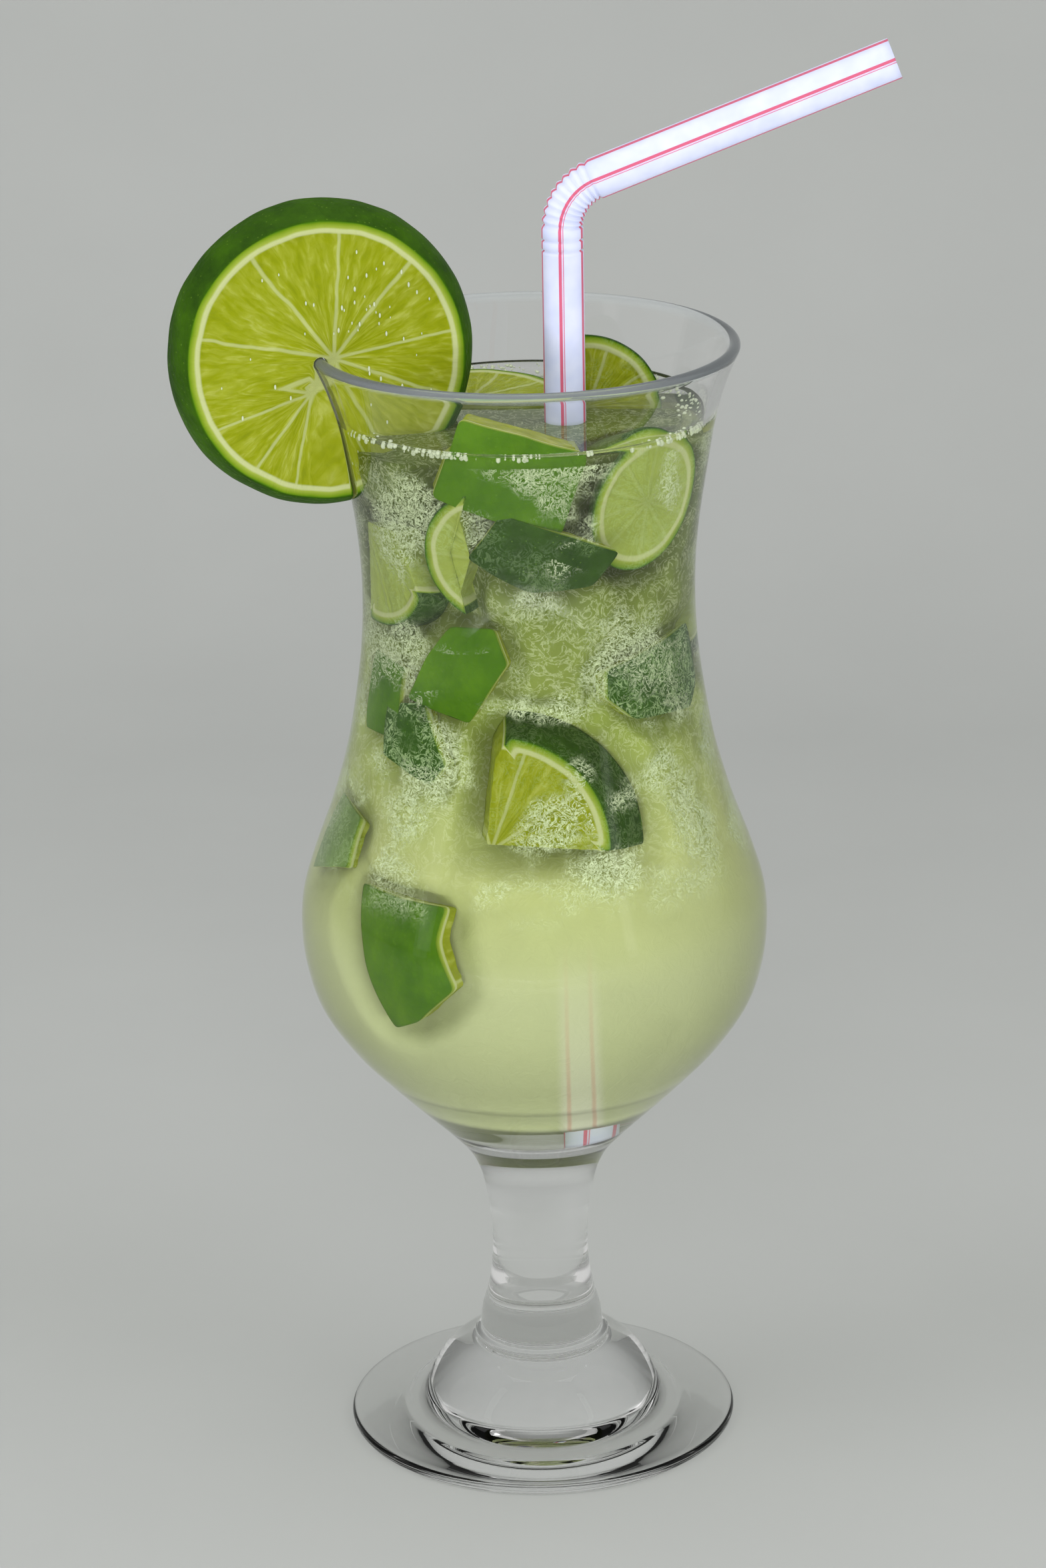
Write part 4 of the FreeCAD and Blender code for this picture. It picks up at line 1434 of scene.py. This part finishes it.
class MOJITO_OT_stage(bpy.types.Operator):
    """Set the floor, the soft lights and the camera"""

    bl_idname = "mojito.stage"
    bl_label = "Studio"

    def execute(self, context):
        s = context.scene.mojito
        self.sweep(s)
        self.lights()
        self.world(context.scene)
        self.camera(context.scene)
        self.tune(context.scene)
        return {"FINISHED"}

    def sweep(self, s):
        """Floor that curves up into a backdrop."""
        side = [(FLOOR_NEAR, 0), (FLOOR_FAR, 0)]
        side += [
            (FLOOR_FAR + SWEEP_RADIUS * sin(a), SWEEP_RADIUS * (1 - cos(a)))
            for a in np.linspace(0.1, pi / 2, 18)
        ]
        side += [(FLOOR_FAR + SWEEP_RADIUS, SWEEP_TOP)]
        points = [(x, y, z) for y, z in side for x in (-SWEEP_HALF, SWEEP_HALF)]
        faces = [(2 * k, 2 * k + 1, 2 * k + 3, 2 * k + 2) for k in range(len(side) - 1)]
        mesh = bpy.data.meshes.new("paper_sweep")
        mesh.from_pydata((np.array(points) * MM).tolist(), [], faces)
        mesh.polygons.foreach_set("use_smooth", [True] * len(mesh.polygons))
        mesh.materials.append(floor_material(s))
        floor = bpy.data.objects.new("paper_sweep", mesh)
        bpy.context.scene.collection.objects.link(floor)

    def lights(self):
        # place, size, power, and whether the glass mirrors it
        rows = {
            "window_left": ((-900, -250, 620), (500, 900), 4.4, False),
            "window_right": ((820, -420, 560), (420, 800), 3.5, False),
            "overhead": ((0, 60, 1250), (1100, 900), 3.8, True),
            "front_fill": ((-150, -1300, 900), (900, 500), 5.2, False),
            "low_fill": ((0, -420, 22), (700, 40), 1.7, False),
            "strip_left": ((-620, -420, 420), (110, 700), 0.16, True),
            "strip_right": ((560, -520, 380), (80, 600), 0.12, True),
        }
        for name, (spot, size, power, mirrored) in rows.items():
            data = bpy.data.lights.new(name, "AREA")
            data.shape = "RECTANGLE"
            data.size, data.size_y = (v * MM for v in size)
            data.energy = power
            light = bpy.data.objects.new(name, data)
            light.location = Vector(spot) * MM
            light.visible_glossy = mirrored
            light.visible_transmission = mirrored
            aim = Vector((0, 0, 0.12)) - light.location
            light.rotation_euler = aim.to_track_quat("-Z", "Y").to_euler()
            bpy.context.scene.collection.objects.link(light)

    def world(self, scene):
        """Room light: bright above and behind, darker on the viewer's side."""
        world = bpy.data.worlds.new("room")
        world.use_nodes = True
        tree = world.node_tree
        tree.nodes.clear()
        way = add(tree, "ShaderNodeTexCoord").outputs["Generated"]
        front = add(tree, "ShaderNodeSeparateXYZ", {0: way}).outputs
        open_sky = add(tree, "ShaderNodeMath", {0: front["Z"], 1: 1.2, 2: front["Y"]},
                       operation="MULTIPLY_ADD")
        ramp = add(tree, "ShaderNodeMapRange", {
            "Value": open_sky, "From Min": -0.9, "From Max": 0.4,
            "To Min": 0.18, "To Max": 0.68,
        })
        sky = add(tree, "ShaderNodeBackground", {
            "Color": linear("#F4F4F2"), "Strength": ramp,
        })
        out = add(tree, "ShaderNodeOutputWorld", {"Surface": sky})
        out.is_active_output = True
        scene.world = world

    def camera(self, scene):
        pitch, yaw, roll = (radians(v) for v in (CAMERA_PITCH, CAMERA_YAW, CAMERA_ROLL))
        ahead = Vector((sin(yaw) * cos(pitch), cos(yaw) * cos(pitch), -sin(pitch)))
        right = Vector((cos(yaw), -sin(yaw), 0))
        up = right.cross(ahead)
        side = cos(roll) * right + sin(roll) * up
        top = -sin(roll) * right + cos(roll) * up
        data = bpy.data.cameras.new("view")
        data.lens = CAMERA_LENS
        data.sensor_width = 36
        data.sensor_fit = "AUTO"
        camera = bpy.data.objects.new("view", data)
        turn = Matrix((side, top, -ahead)).transposed().to_4x4()
        camera.matrix_world = Matrix.Translation((0, -CAMERA_FAR * MM, CAMERA_HIGH * MM)) @ turn
        scene.collection.objects.link(camera)
        scene.camera = camera

    def tune(self, scene):
        """True colours, and enough bounces for light to get through glass and drink."""
        scene.view_settings.view_transform = "Standard"
        scene.cycles.max_bounces = 24
        scene.cycles.transmission_bounces = 20
        scene.cycles.transparent_max_bounces = 32
        scene.cycles.volume_bounces = 6
        scene.cycles.sample_clamp_indirect = 6.0


class MOJITO_PT_panel(bpy.types.Panel):
    """Lists the pieces of the mojito and its settings"""

    bl_label = "Mojito"
    bl_idname = "MOJITO_PT_panel"
    bl_space_type = "VIEW_3D"
    bl_region_type = "UI"
    bl_category = "Mojito"

    def draw(self, context):
        for name in MojitoSettings.__annotations__:
            self.layout.prop(context.scene.mojito, name)
        for operator in OPERATORS:
            self.layout.operator(operator.bl_idname)


OPERATORS = (
    MOJITO_OT_glass,
    MOJITO_OT_drink,
    MOJITO_OT_straw,
    MOJITO_OT_wheel,
    MOJITO_OT_surface_limes,
    MOJITO_OT_sunk_limes,
    MOJITO_OT_heart,
    MOJITO_OT_froth,
    MOJITO_OT_stage,
)


def register():
    for kind in (MojitoSettings, *OPERATORS, MOJITO_PT_panel):
        bpy.utils.register_class(kind)
    bpy.types.Scene.mojito = bpy.props.PointerProperty(type=MojitoSettings)


def unregister():
    del bpy.types.Scene.mojito
    for kind in reversed((MojitoSettings, *OPERATORS, MOJITO_PT_panel)):
        bpy.utils.unregister_class(kind)


def main():
    register()
    for operator in OPERATORS:
        family, name = operator.bl_idname.split(".")
        getattr(getattr(bpy.ops, family), name)()


if __name__ == "__main__":
    main()
